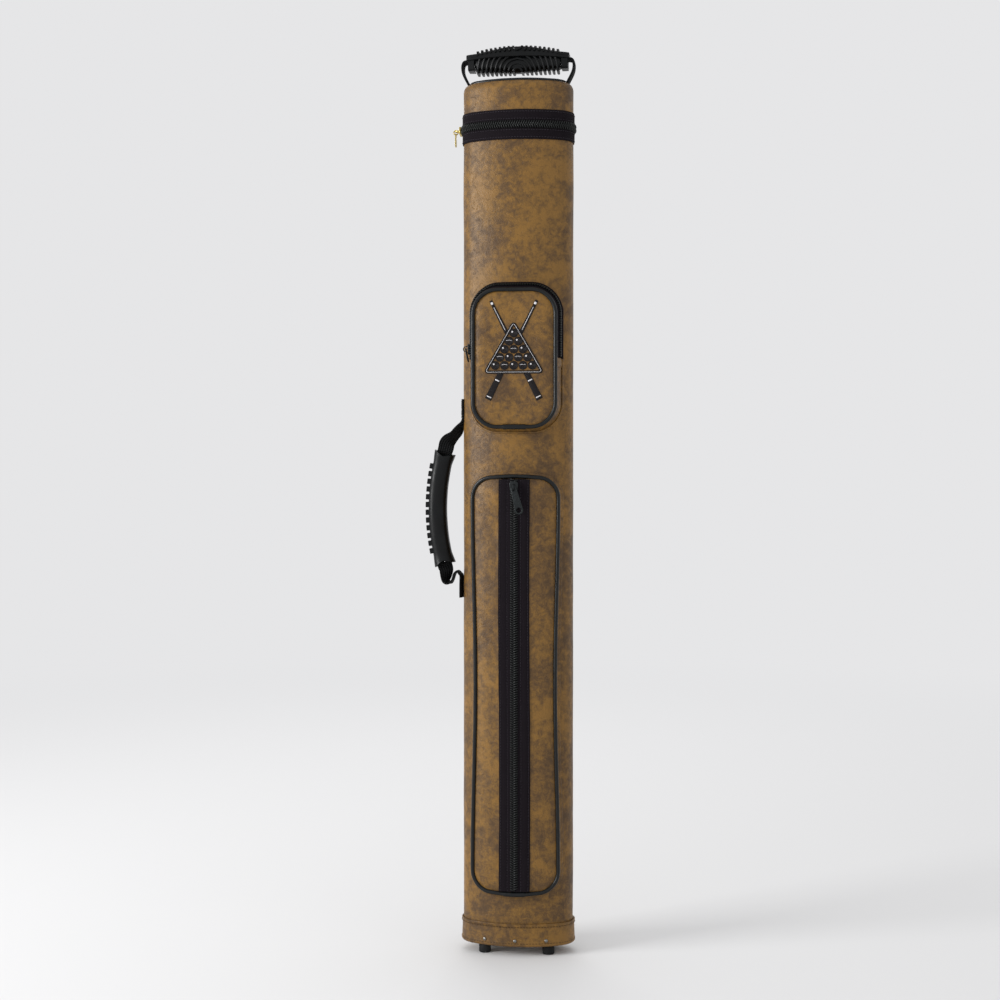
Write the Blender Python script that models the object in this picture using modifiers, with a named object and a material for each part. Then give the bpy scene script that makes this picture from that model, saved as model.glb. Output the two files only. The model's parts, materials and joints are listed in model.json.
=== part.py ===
"""Oval hard cue case for two butts and two shafts, standing on its rubber feet.

Metres, +Z up. The front, with both pockets, faces -Y, and the side handle is at -X. Every piece is
placed from the axis of the oval tube, and the empty "case_axis" carries them all, so that the world
origin is the bottom centre of the whole object's box.
"""

import math

import bmesh
import bpy
from mathutils import Matrix, Vector

# ---- Driving dimensions -------------------------------------------------------------------------

AXIS_X, AXIS_Y = 0.0176, 0.0066  # the tube's axis from the origin
GAP = 0.0003  # running gap between neighbouring pieces

# Outer oval of the body: two small end arcs and two large front and rear arcs, all tangent.
HALF_WIDTH = 0.0545
HALF_DEPTH = 0.0295
END_RADIUS = 0.022
END_CENTRE = HALF_WIDTH - END_RADIUS
DEPTH_STEP = HALF_DEPTH - END_RADIUS
LONG_CENTRE = (END_CENTRE**2 - DEPTH_STEP**2) / (2 * DEPTH_STEP)
LONG_RADIUS = LONG_CENTRE + HALF_DEPTH
SEAM = math.degrees(math.atan2(LONG_CENTRE, END_CENTRE))  # direction in which the arcs meet
END_STEPS, LONG_STEPS = 14, 10

# Walls, as offsets from the outer oval, and heights.
COVER_WALL = 0.0012
SHELL_WALL = 0.0025
SHELL_OUT = -COVER_WALL - GAP
SHELL_IN = SHELL_OUT - SHELL_WALL
CORE_OUT = SHELL_IN - GAP
FOOT_HEIGHT = 0.0095
FOOT_RADIUS = 0.006
FOOT_X, FOOT_Y = 0.0315, 0.0150
CUP_FLOOR = 0.0020
CUP_IN, CUP_OUT = 0.0004, 0.0022
CUP_TOP = 0.0320
CUP_EDGE = 0.0008  # bevel round its lower edge
BODY_LOW = FOOT_HEIGHT + CUP_FLOOR + GAP
BOARD_HEIGHT = 0.0080
PAD_HEIGHT = 0.0050
SPLIT_Z = 0.8127  # plane of the cap's zipper
BODY_HIGH = SPLIT_Z - GAP
INSERT_LOW, INSERT_HIGH = 0.8092, 0.8155
TACK_Z = BODY_LOW + BOARD_HEIGHT / 2
TACK_HEAD, TACK_RISE = 0.0019, 0.0009
TACK_SHANK, TACK_LENGTH = 0.0009, 0.0095
TACK_SPACING = 18  # degrees between neighbouring tacks

# Bores for the cues.
BUTT_X, BUTT_BORE = 0.0300, 0.01715
SHAFT_Y, SHAFT_BORE = 0.0126, 0.0110
LINER_WALL = 0.0007

# Cap.
CAP_LOW = SPLIT_Z + GAP
SHOULDER_Z = 0.8490
SEAM_OFFSET, SEAM_Z = -0.0058, 0.8566
PIPING_RADIUS = 0.0020
TOP_PIPING_OFFSET, TOP_PIPING_Z = -0.0082, 0.8575
TOP_PANEL_OFFSET = -0.0105
CAP_PAD_OFFSET, CAP_PAD_Z = -0.0115, 0.8450
CAP_SHELL_SEAM_OUT, CAP_SHELL_SEAM_IN = -0.0075, -0.0098  # where the shell's shoulder ends

# Zipper round the cap: tape and coil in one piece above and below the split.
TAPE_REACH = 0.0145
COIL_REACH = 0.0030
TAPE_THICK, COIL_THICK = 0.0009, 0.0019
FLAP_HALF_ANGLE = 18.0  # half of the rear stretch that is a leather hinge and not a zipper
FLAP_THICK = 0.0012

# Upper pocket: a flat panel in a flared gusset; its top half folds down at the fold line.
POCKET_HALF_WIDTH = 0.0402  # to the middle of its piping
POCKET_LOW, POCKET_HIGH = 0.5185, 0.6515
POCKET_RADIUS = 0.0240
POCKET_FOLD = 0.5850
POCKET_FRONT = -0.0400
POCKET_PANEL_THICK = 0.0020
PIPING_BACK = -0.0367
GUSSET_BACK = -0.0150
GUSSET_FLARE = 0.0030
GUSSET_WALL = 0.0015
GUSSET_OVER = 0.0008  # how far the gusset stands outside the middle of the piping
ZIP_BASE_HEIGHT, ZIP_BASE_WALL = 0.0022, 0.0024

# Lower pocket: a shallow one that follows the oval, with a zipper down its middle.
LONG_HALF_WIDTH = 0.0423
LONG_LOW, LONG_HIGH = 0.0640, 0.4695
LONG_CORNER = 0.0200
LONG_WAIST = 0.0030
LONG_BOW = 0.0012
LONG_PIPING_OFFSET = 0.0072
LONG_SKIN = (0.0065, 0.0080)
LONG_LIP = 0.0120  # where the leather ends under the tape
LONG_TAPE = 0.0152  # half of the width over both tapes
LONG_COIL = (0.0003, 0.0029)
COIL_STEP = 0.0002  # slope between the coil and the tape

# Sliders and pulls.
SLIDER_LENGTH, SLIDER_THICK = 0.0120, 0.0016
BRIDGE_RADIUS, BRIDGE_WIRE, BRIDGE_RISE = 0.0024, 0.0006, 0.0015
PULL_BAR, PULL_SLOT, PULL_THICK = 0.0008, 0.0039, 0.0012  # half the bar, end of the slot
LINK_RADIUS, LINK_WIRE = 0.0022, 0.0005
LONG_SLIDER_Z, LONG_SLIDER_WIDTH = 0.4600, 0.0084
UPPER_SLIDER_PLACE = (-0.0462, -0.0245, 0.5950)
UPPER_SLIDER_WIDTH, UPPER_SLIDER_LENGTH = 0.0072, 0.0105
CAP_SLIDER_HALF_WIDTH = 0.0045
LONG_PULL = (0.0026, 0.0042, 0.0270)  # half its top width, half its bottom width, its length
UPPER_PULL = (0.0024, 0.0034, 0.0130)
CAP_PULL = (0.0022, 0.0036, 0.0120)
LONG_PULL_WINDOW, UPPER_PULL_WINDOW = 0.0015, 0.0011
PULL_HOLE, CAP_PULL_EYE = 0.0026, 0.0011
PULL_OUT = BRIDGE_RISE + 0.0007  # the bar's middle above the plate
UPPER_PULL_LEAN = 12.0
LONG_PULL_TILT = 13.5

# Side handle.
STRAP_THICK = 0.0018
GRIP_Z, GRIP_HALF_LENGTH = 0.4384, 0.0570
GRIP_MIDDLE_X = -0.0815
GRIP_BEND = 0.2100
GRIP_RADIAL, GRIP_DEPTH = 0.0104, 0.0080
SWING_X = -0.0580  # the upright line that the handle swings on
PATCHES = {"upper": (0.5260, 0.5470), "lower": (0.3500, 0.3745)}
PATCH_THICK, PATCH_HALF_ANGLE = 0.0034, 24

# Top handle.
TOP_GRIP_HALF = 0.0508
TOP_GRIP_LOW = 0.8680
TOP_GRIP_HIGH, TOP_GRIP_END_HIGH = 0.8940, 0.8868
TOP_GRIP_DEPTH = 0.0125
TOP_SWING_Z = 0.8640
TOP_STRAP_X, TOP_STRAP_HALF = 0.0522, 0.0070
TOP_STRAP_HIGH = 0.8800  # where the straps enter the grip

LEATHER = ("leatherette", (0.46, 0.33, 0.17, 1), 0.55, 0.0)
INNER = ("black_plastic", (0.03, 0.03, 0.03, 1), 0.45, 0.0)
FOAM = ("grey_foam", (0.16, 0.16, 0.17, 1), 0.95, 0.0)
WOOD = ("base_ply", (0.55, 0.40, 0.24, 1), 0.8, 0.0)
TAPE = ("zip_tape", (0.035, 0.03, 0.035, 1), 0.9, 0.0)
PIPING = ("piping_vinyl", (0.04, 0.045, 0.048, 1), 0.4, 0.0)
WEBBING = ("webbing", (0.015, 0.015, 0.016, 1), 0.9, 0.0)
RUBBER = ("grip_rubber", (0.02, 0.021, 0.022, 1), 0.5, 0.0)
BLACK_METAL = ("black_metal", (0.05, 0.055, 0.058, 1), 0.35, 0.8)
GOLD = ("gold_metal", (0.83, 0.68, 0.33, 1), 0.25, 1.0)
STEEL = ("tack_steel", (0.7, 0.7, 0.72, 1), 0.25, 1.0)


# ---- Scene, collections and materials -----------------------------------------------------------

for old in list(bpy.data.objects):
    bpy.data.objects.remove(old)

parts = bpy.data.collections.new("cue_case")
cutters = bpy.data.collections.new("cutters")
for collection in (parts, cutters):
    bpy.context.scene.collection.children.link(collection)

case_axis = bpy.data.objects.new("case_axis", None)
case_axis.location = (AXIS_X, AXIS_Y, 0)
parts.objects.link(case_axis)


def material(kind):
    """The Principled material for one of the kinds above, made once."""
    name, colour, roughness, metallic = kind
    found = bpy.data.materials.get(name)
    if found:
        return found
    made = bpy.data.materials.new(name)
    made.use_nodes = True
    shader = made.node_tree.nodes["Principled BSDF"]
    shader.inputs["Base Color"].default_value = colour
    shader.inputs["Roughness"].default_value = roughness
    shader.inputs["Metallic"].default_value = metallic
    made.diffuse_color = colour
    return made


def add(name, data, kind, location=(0, 0, 0), rotation=(0, 0, 0)):
    """An object in the case, or with kind None a hidden cutter."""
    obj = bpy.data.objects.new(name, data)
    if kind is None:
        cutters.objects.link(obj)
        obj.hide_render = True
        obj.display_type = "WIRE"
    else:
        parts.objects.link(obj)
        data.materials.append(material(kind))
    obj.parent = case_axis
    obj.location = location
    obj.rotation_euler = rotation
    return obj


def shade(mesh):
    mesh.shade_smooth()
    mesh.set_sharp_from_angle(angle=math.radians(40))


# ---- Outlines -----------------------------------------------------------------------------------


def oval_point(angle, offset):
    """The point of the oval, grown by offset, whose outward normal has this angle in degrees."""
    turn = math.radians(angle)
    across, along = math.cos(turn), math.sin(turn)
    if abs(along) > math.sin(math.radians(SEAM)):
        reach = LONG_RADIUS + offset
        return Vector((reach * across, reach * along - math.copysign(LONG_CENTRE, along)))
    reach = END_RADIUS + offset
    return Vector((reach * across + math.copysign(END_CENTRE, across), reach * along))


def oval_angles(start=-SEAM, stop=360 - SEAM):
    """Normal angles from start to stop, closer together on the large arcs, with the ends included."""
    marks = []
    for turn in (-360, 0, 360):
        for low, high, steps in (
            (-SEAM, SEAM, END_STEPS),
            (SEAM, 180 - SEAM, LONG_STEPS),
            (180 - SEAM, 180 + SEAM, END_STEPS),
            (180 + SEAM, 360 - SEAM, LONG_STEPS),
        ):
            marks += [turn + low + (high - low) * i / steps for i in range(steps)]
    return [start] + [a for a in marks if start + 0.5 < a < stop - 0.5] + [stop]


def oval(offset):
    """The whole oval as a closed outline."""
    return [oval_point(a, offset) for a in oval_angles()[:-1]]


def band(inner, outer, start, stop):
    """The outline of a strip that follows the oval between two normal angles."""
    angles = oval_angles(start, stop)
    near = [oval_point(a, inner) for a in angles]
    return near + [oval_point(a, outer) for a in reversed(angles)]


def circle(x, y, radius, steps=28):
    turns = [2 * math.pi * i / steps for i in range(steps)]
    return [Vector((x + radius * math.cos(t), y + radius * math.sin(t))) for t in turns]


def front_depth(x, offset):
    """How far in front of the axis the oval, grown by offset, is at this x."""
    reach = LONG_RADIUS + offset
    if abs(x) <= reach * math.cos(math.radians(SEAM)):
        return math.sqrt(reach**2 - x**2) - LONG_CENTRE
    return math.sqrt(max((END_RADIUS + offset) ** 2 - (abs(x) - END_CENTRE) ** 2, 0.0))


def front_angle(x, offset):
    """The normal angle at this x on the front of the oval."""
    return 270 + math.degrees(math.asin(x / (LONG_RADIUS + offset)))


def u_path(half_width, open_z, closed_z, radius, steps=7):
    """Points in (x, z) from the left open end, round the closed end, to the right open end."""
    way = math.copysign(1, closed_z - open_z)
    corner = [math.pi / 2 * i / steps for i in range(steps + 1)]
    side = half_width - radius
    level = closed_z - way * radius
    left = [(-side - radius * math.cos(t), level + way * radius * math.sin(t)) for t in corner]
    right = [(-x, z) for x, z in reversed(left)]
    return [(-half_width, open_z), *left, *right, (half_width, open_z)]


def long_outline(grow):
    """The lower pocket's outline in (x, z), waisted and with bowed ends, grown by this much."""
    steps, side_steps, end_steps = 6, 10, 4
    half, radius = LONG_HALF_WIDTH + grow, LONG_CORNER + grow
    low, high = LONG_LOW - grow, LONG_HIGH + grow
    corner = [math.pi / 2 * i / steps for i in range(steps + 1)]
    level = high - radius
    arc = [(half - radius + radius * math.cos(t), level + radius * math.sin(t)) for t in corner]
    bow = [1 - i / end_steps for i in range(1, end_steps)]
    arc += [((half - radius) * x, high + LONG_BOW * (1 - x * x)) for x in bow]
    run = high - low - 2 * radius
    side = []
    for i in range(1, side_steps):
        share = i / side_steps
        waist = LONG_WAIST * math.sin(math.pi * share) ** 2
        side.append((half - waist, low + radius + run * share))
    under = [(x, low + high - z) for x, z in reversed(arc)]
    right = [(0, low - LONG_BOW), *under, *side, *arc]
    left = [(-x, z) for x, z in reversed(right[1:])]
    return [*right, (0, high + LONG_BOW), *left]


# ---- Solids -------------------------------------------------------------------------------------


def loft(name, sections, kind, closed=False, cyclic=True):
    """A solid through sections of equal point counts. Closed joins the last section to the first."""
    bm = bmesh.new()
    rows = [[bm.verts.new(p) for p in section] for section in sections]
    count = len(rows[0])
    pairs = list(zip(rows, rows[1:]))
    if closed:
        pairs.append((rows[-1], rows[0]))
    for row, following in pairs:
        for i in range(count if cyclic else count - 1):
            j = (i + 1) % count
            bm.faces.new((row[i], row[j], following[j], following[i]))
    if not closed:
        bm.faces.new(rows[0])
        bm.faces.new(rows[-1])
    bmesh.ops.recalc_face_normals(bm, faces=bm.faces)
    mesh = bpy.data.meshes.new(name)
    bm.to_mesh(mesh)
    bm.free()
    shade(mesh)
    return add(name, mesh, kind)


def sweep_oval(name, profile, kind, start=None, stop=None):
    """A profile of (offset, z) points carried round the oval, or from one normal angle to another."""
    whole = start is None
    angles = oval_angles()[:-1] if whole else oval_angles(start, stop)
    sections = []
    for angle in angles:
        sections.append([(*oval_point(angle, offset), z) for offset, z in profile])
    return loft(name, sections, kind, closed=whole)


def prism(name, outlines, low, high, kind):
    """Closed outlines in (x, y), the later ones holes, filled and extruded from low to high."""
    curve = bpy.data.curves.new(name, "CURVE")
    curve.dimensions = "2D"
    curve.fill_mode = "BOTH"
    curve.extrude = abs(high - low) / 2
    for outline in outlines:
        spline = curve.splines.new("POLY")
        spline.points.add(len(outline) - 1)
        for point, place in zip(spline.points, outline):
            point.co = (place[0], place[1], 0, 1)
        spline.use_cyclic_u = True
    return add(name, curve, kind, location=(0, 0, (low + high) / 2))


def front_prism(name, outlines, back, front, kind):
    """The same with outlines in (x, z), extruded from back to front along -Y."""
    obj = prism(name, outlines, back, front, kind)
    obj.location = (0, (back + front) / 2, 0)
    obj.rotation_euler = (math.pi / 2, 0, 0)
    return obj


def wire(name, points, radius, kind, closed=False, sides=2):
    """A round tube through the points."""
    curve = bpy.data.curves.new(name, "CURVE")
    curve.dimensions = "3D"
    curve.bevel_depth = radius
    curve.bevel_resolution = sides
    curve.use_fill_caps = True
    spline = curve.splines.new("POLY")
    spline.points.add(len(points) - 1)
    for point, place in zip(spline.points, points):
        point.co = (*place, 1)
    spline.use_cyclic_u = closed
    return add(name, curve, kind)


def turned(name, profile, kind, location, direction=(0, 0, 1), steps=20):
    """A profile of (radius, height), top to bottom down its outer side, turned about its own axis."""
    mesh = bpy.data.meshes.new(name)
    edges = [(i, i + 1) for i in range(len(profile) - 1)]
    mesh.from_pydata([(r, 0, h) for r, h in profile], edges, [])
    obj = add(name, mesh, kind, location=location)
    obj.rotation_euler = Vector(direction).to_track_quat("Z", "Y").to_euler()
    screw = obj.modifiers.new("turn", "SCREW")
    screw.steps = screw.render_steps = steps
    screw.use_merge_vertices = True
    screw.merge_threshold = 0.00001
    screw.use_smooth_shade = False
    return obj


def box(name, size, centre, kind, bevel=0.0):
    """A box with its scale applied, and rounded edges where a bevel is given."""
    bm = bmesh.new()
    bmesh.ops.create_cube(bm, size=1, matrix=Matrix.Diagonal((*size, 1)))
    mesh = bpy.data.meshes.new(name)
    bm.to_mesh(mesh)
    bm.free()
    obj = add(name, mesh, kind, location=centre)
    if bevel:
        rounding = obj.modifiers.new("rounding", "BEVEL")
        rounding.width = bevel
        rounding.segments = 2
    return obj


def as_mesh(obj):
    """The same piece as a mesh with its modifiers applied, so that it can be cut or joined."""
    bpy.context.view_layer.update()
    graph = bpy.context.evaluated_depsgraph_get()
    mesh = bpy.data.meshes.new_from_object(obj.evaluated_get(graph))
    bm = bmesh.new()
    bm.from_mesh(mesh)
    bmesh.ops.remove_doubles(bm, verts=bm.verts, dist=0.000005)
    bmesh.ops.recalc_face_normals(bm, faces=bm.faces)
    bm.to_mesh(mesh)
    bm.free()
    name, home, place = obj.name, obj.users_collection[0], obj.matrix_world.copy()
    hidden, display = obj.hide_render, obj.display_type
    bpy.data.objects.remove(obj)
    made = bpy.data.objects.new(name, mesh)
    home.objects.link(made)
    made.matrix_world = place
    made.hide_render, made.display_type = hidden, display
    made.parent = case_axis
    made.matrix_parent_inverse = case_axis.matrix_world.inverted()
    return made


def boolean(obj, other, operation="DIFFERENCE"):
    change = obj.modifiers.new(operation.lower(), "BOOLEAN")
    change.object = other
    change.operation = operation
    return obj


def joined(obj, *others):
    """obj with the others joined to it as one body; the others are removed."""
    for other in others:
        boolean(obj, other, "UNION")
    made = as_mesh(obj)
    for other in others:
        bpy.data.objects.remove(other)
    return made


# ---- Body: base, tube, core and cover -----------------------------------------------------------


def tack_places():
    """Normal angles of the six tacks: three across the front and three across the rear."""
    return [middle + side * TACK_SPACING for middle in (270, 90) for side in (-1, 0, 1)]


def make_tack_holes():
    """Cutters for the tacks' shanks, each from outside the cup to inside the base board."""
    inset, length, radius = -0.0030, 0.0140, TACK_SHANK + GAP
    bm = bmesh.new()
    for angle in tack_places():
        normal = Vector((math.cos(math.radians(angle)), math.sin(math.radians(angle)), 0))
        centre = Vector((*oval_point(angle, inset), TACK_Z))
        turn = Matrix.Translation(centre) @ normal.to_track_quat("Z", "Y").to_matrix().to_4x4()
        bmesh.ops.create_cone(
            bm, cap_ends=True, segments=12, radius1=radius, radius2=radius, depth=length, matrix=turn
        )
    mesh = bpy.data.meshes.new("tack_holes")
    bm.to_mesh(mesh)
    bm.free()
    return add("tack_holes", mesh, None)


def make_body(tack_holes):
    board = prism("base_board", [oval(CORE_OUT)], BODY_LOW, BODY_LOW + BOARD_HEIGHT, WOOD)
    shell = prism("tube_shell", [oval(SHELL_OUT), oval(SHELL_IN)], BODY_LOW, BODY_HIGH, INNER)
    cover = prism("body_cover", [oval(0), oval(-COVER_WALL)], BODY_LOW, BODY_HIGH, LEATHER)
    # The cup is a stack of ovals from the edge of its underside, over its rim, to its floor.
    cup_profile = [
        (CUP_OUT - CUP_EDGE, FOOT_HEIGHT),
        (CUP_OUT, FOOT_HEIGHT + CUP_EDGE),
        (CUP_OUT, CUP_TOP),
        (CUP_IN, CUP_TOP),
        (CUP_IN, FOOT_HEIGHT + CUP_FLOOR),
    ]
    sections = [[(x, y, z) for x, y in oval(offset)] for offset, z in cup_profile]
    cup = loft("base_cup", sections, LEATHER)
    for obj in (board, shell, cover, cup):
        boolean(as_mesh(obj), tack_holes)


def make_core():
    low = BODY_LOW + BOARD_HEIGHT + GAP
    pad_top = low + PAD_HEIGHT
    top = INSERT_LOW - GAP
    bores = [
        ("butt_liner_left", -BUTT_X, 0, BUTT_BORE),
        ("butt_liner_right", BUTT_X, 0, BUTT_BORE),
        ("shaft_liner_front", 0, -SHAFT_Y, SHAFT_BORE),
        ("shaft_liner_rear", 0, SHAFT_Y, SHAFT_BORE),
    ]
    holes = [circle(x, y, bore + LINER_WALL + GAP) for _, x, y, bore in bores]
    prism("base_pad", [oval(CORE_OUT)], low, pad_top, FOAM)
    prism("cue_core", [oval(CORE_OUT), *holes], pad_top + GAP, top, FOAM)
    for name, x, y, bore in bores:
        tube = [circle(x, y, bore + LINER_WALL), circle(x, y, bore)]
        prism(name, tube, pad_top + GAP, top, INNER)
    mouths = [circle(x, y, bore) for _, x, y, bore in bores]
    prism("cue_insert", [oval(CORE_OUT), *mouths], INSERT_LOW, INSERT_HIGH, INNER)


def make_feet():
    edge = 0.0008
    profile = [
        (0, FOOT_HEIGHT - GAP),
        (FOOT_RADIUS, FOOT_HEIGHT - GAP),
        (FOOT_RADIUS, edge),
        (FOOT_RADIUS - edge, 0),
        (0, 0),
    ]
    for depth, y in (("front", -FOOT_Y), ("rear", FOOT_Y)):
        for side, x in (("left", -FOOT_X), ("right", FOOT_X)):
            turned(f"foot_{depth}_{side}", profile, RUBBER, (x, y, 0), steps=16)


def make_tacks():
    """Domed heads on the cup, with shanks driven through the walls into the base board."""
    profile = [
        (0, TACK_RISE),
        (TACK_HEAD * 0.6, TACK_RISE * 0.8),
        (TACK_HEAD, 0),
        (TACK_SHANK, 0),
        (TACK_SHANK, -TACK_LENGTH),
        (0, -TACK_LENGTH),
    ]
    for number, angle in enumerate(tack_places(), start=1):
        normal = (math.cos(math.radians(angle)), math.sin(math.radians(angle)), 0)
        place = (*oval_point(angle, CUP_OUT + GAP), TACK_Z)
        turned(f"base_tack_{number}", profile, STEEL, place, normal, steps=10)


# ---- Cap and its zipper -------------------------------------------------------------------------


def shoulder(wall_offset, seam_offset, shoulder_z, seam_z, steps=5):
    """(offset, z) up a quarter ellipse from the wall to the seam."""
    turns = [math.pi / 2 * i / steps for i in range(steps + 1)]
    inset, rise = wall_offset - seam_offset, seam_z - shoulder_z
    return [(seam_offset + inset * math.cos(t), shoulder_z + rise * math.sin(t)) for t in turns]


def make_cap():
    """The cap's cover, stiff shell, foam, top panel and piping, its zipper and its leather hinge."""
    seam_step = 0.0004  # how much lower the inner shoulder starts, and the gap over the shell
    cover_out = [(0, CAP_LOW), *shoulder(0, SEAM_OFFSET, SHOULDER_Z, SEAM_Z)]
    cover_in = [(-COVER_WALL, CAP_LOW)]
    cover_in += shoulder(-COVER_WALL, SEAM_OFFSET, SHOULDER_Z - seam_step, SEAM_Z - COVER_WALL)
    sweep_oval("cap_cover", cover_out + cover_in[::-1], LEATHER)

    shell_top = SEAM_Z - COVER_WALL - GAP - seam_step
    shell_shoulder = SHOULDER_Z - 0.001
    inner_wall = SHELL_IN + 0.0002
    outer = [(SHELL_OUT, CAP_LOW)]
    outer += shoulder(SHELL_OUT, CAP_SHELL_SEAM_OUT, shell_shoulder, shell_top)
    inner = [(inner_wall, CAP_LOW)]
    inner += shoulder(inner_wall, CAP_SHELL_SEAM_IN, shell_shoulder, shell_top - SHELL_WALL)
    sections = [[(x, y, z) for x, y in oval(offset)] for offset, z in outer[::-1] + inner]
    loft("cap_shell", sections, INNER)
    prism("cap_foam_pad", [oval(CAP_PAD_OFFSET)], CAP_PAD_Z, shell_top - SHELL_WALL - GAP, FOAM)

    panel_low, panel_high = SEAM_Z - 0.0008, SEAM_Z + 0.0012
    prism("cap_top_panel", [oval(TOP_PANEL_OFFSET)], panel_low, panel_high, LEATHER)
    ring = [(*point, TOP_PIPING_Z) for point in oval(TOP_PIPING_OFFSET)]
    wire("cap_piping", ring, PIPING_RADIUS, PIPING, closed=True)

    first, last = FLAP_HALF_ANGLE - 270, 90 - FLAP_HALF_ANGLE
    for name, way in (("body_zip", -1), ("cap_zip", 1)):
        edge = SPLIT_Z + way * GAP
        coil = SPLIT_Z + way * COIL_REACH
        tape = SPLIT_Z + way * TAPE_REACH
        profile = [
            (GAP, edge),
            (GAP + COIL_THICK, edge),
            (GAP + COIL_THICK, coil),
            (GAP + TAPE_THICK, coil + way * COIL_STEP),
            (GAP + TAPE_THICK, tape),
            (GAP, tape),
        ]
        sweep_oval(name, profile, TAPE, first, last)
    half_angle = FLAP_HALF_ANGLE - 0.4  # clear of the zipper's ends
    flap = band(GAP, GAP + FLAP_THICK, 90 - half_angle, 90 + half_angle)
    prism("hinge_flap_lower", [flap], SPLIT_Z - TAPE_REACH, SPLIT_Z - GAP, LEATHER)
    prism("hinge_flap_upper", [flap], SPLIT_Z + GAP, SPLIT_Z + TAPE_REACH, LEATHER)


def make_cap_slider():
    """The gilt slider at the left end of the oval, with a link and a hanging tab."""
    face = HALF_WIDTH + GAP + COIL_THICK + GAP  # distance of the plate's inner face
    top = face + SLIDER_THICK
    half = CAP_SLIDER_HALF_WIDTH
    lip_size, lip_in = (0.0014, 0.0090, 0.0011), 0.0003
    foot_in = 0.0005  # how far the bridge's ends are sunk in the plate
    centre = (-(face + top) / 2, 0, SPLIT_Z)
    plate = box("cap_slider", (SLIDER_THICK, SLIDER_LENGTH, 2 * half), centre, GOLD)
    lip_z = SPLIT_Z - half + lip_size[2] / 2
    lip = box("lip", lip_size, (-face + lip_in, 0, lip_z), GOLD)
    arch = [(-out, along, SPLIT_Z) for out, along in bridge_arch(face + foot_in, top)]
    joined(as_mesh(plate), as_mesh(lip), as_mesh(wire("bridge", arch, BRIDGE_WIRE, GOLD)))

    bar_x = -(top + BRIDGE_RISE + BRIDGE_RADIUS)
    link_z = SPLIT_Z - (LINK_RADIUS - LINK_WIRE - BRIDGE_WIRE - 0.0001)
    turns = [2 * math.pi * i / 16 for i in range(16)]
    ring = [(bar_x + LINK_RADIUS * math.cos(t), 0, link_z + LINK_RADIUS * math.sin(t)) for t in turns]
    wire("cap_pull_link", ring, LINK_WIRE, GOLD, closed=True)
    eye = circle(0, 0, CAP_PULL_EYE, 12)
    tab = prism("cap_pull_tab", [pull_outline(*CAP_PULL, rise=0.0016), eye], 0, 0.0010, GOLD)
    tab.location = (bar_x, 0, link_z - LINK_RADIUS - 0.0004)
    tab.rotation_euler = (math.pi / 2, 0, math.pi / 2)


def pull_outline(top_half, bottom_half, length, rise=PULL_BAR, steps=8):
    """A tab in (x, y) that hangs from the origin: square at the top, wider and round at the bottom."""
    centre = -(length - bottom_half)
    turns = [-math.pi * i / steps for i in range(steps + 1)]
    low = [(bottom_half * math.cos(t), centre + bottom_half * math.sin(t)) for t in turns]
    return [(-top_half, rise), (top_half, rise), *low]


def pull_window(half):
    """The slot under a pull's top bar, through which the slider's bridge passes."""
    return [(-half, -PULL_BAR), (half, -PULL_BAR), (half, -PULL_SLOT), (-half, -PULL_SLOT)]


def bridge_arch(foot, top):
    """Points (distance, along) of a slider's bridge: from its foot inside the plate, over the top."""
    turns = [math.pi * i / 8 for i in range(9)]
    middle = top + BRIDGE_RISE
    arch = [(middle + BRIDGE_RADIUS * math.sin(t), BRIDGE_RADIUS * math.cos(t)) for t in turns]
    return [(foot, BRIDGE_RADIUS), *arch, (foot, -BRIDGE_RADIUS)]


# ---- Upper pocket -------------------------------------------------------------------------------


def gusset_ring(name, open_z, closed_z, wall, kind):
    """A flared wall round three sides of the upper pocket, from its piping into the body."""
    way = math.copysign(1, closed_z - open_z)

    def path(grow, y):
        points = u_path(POCKET_HALF_WIDTH + grow, open_z, closed_z + way * grow, POCKET_RADIUS + grow)
        return [(x, y, z) for x, z in points]

    rails = (
        path(GUSSET_OVER, PIPING_BACK),
        path(GUSSET_OVER + GUSSET_FLARE, GUSSET_BACK),
        path(GUSSET_OVER + GUSSET_FLARE - wall, GUSSET_BACK),
        path(GUSSET_OVER - wall, PIPING_BACK),
    )
    return loft(name, list(zip(*rails)), kind)


def oval_cutter(name, offset, spare=0.02):
    """The oval as a solid past both ends of the upper pocket."""
    return as_mesh(prism(name, [oval(offset)], POCKET_LOW - spare, POCKET_HIGH + spare, None))


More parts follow.
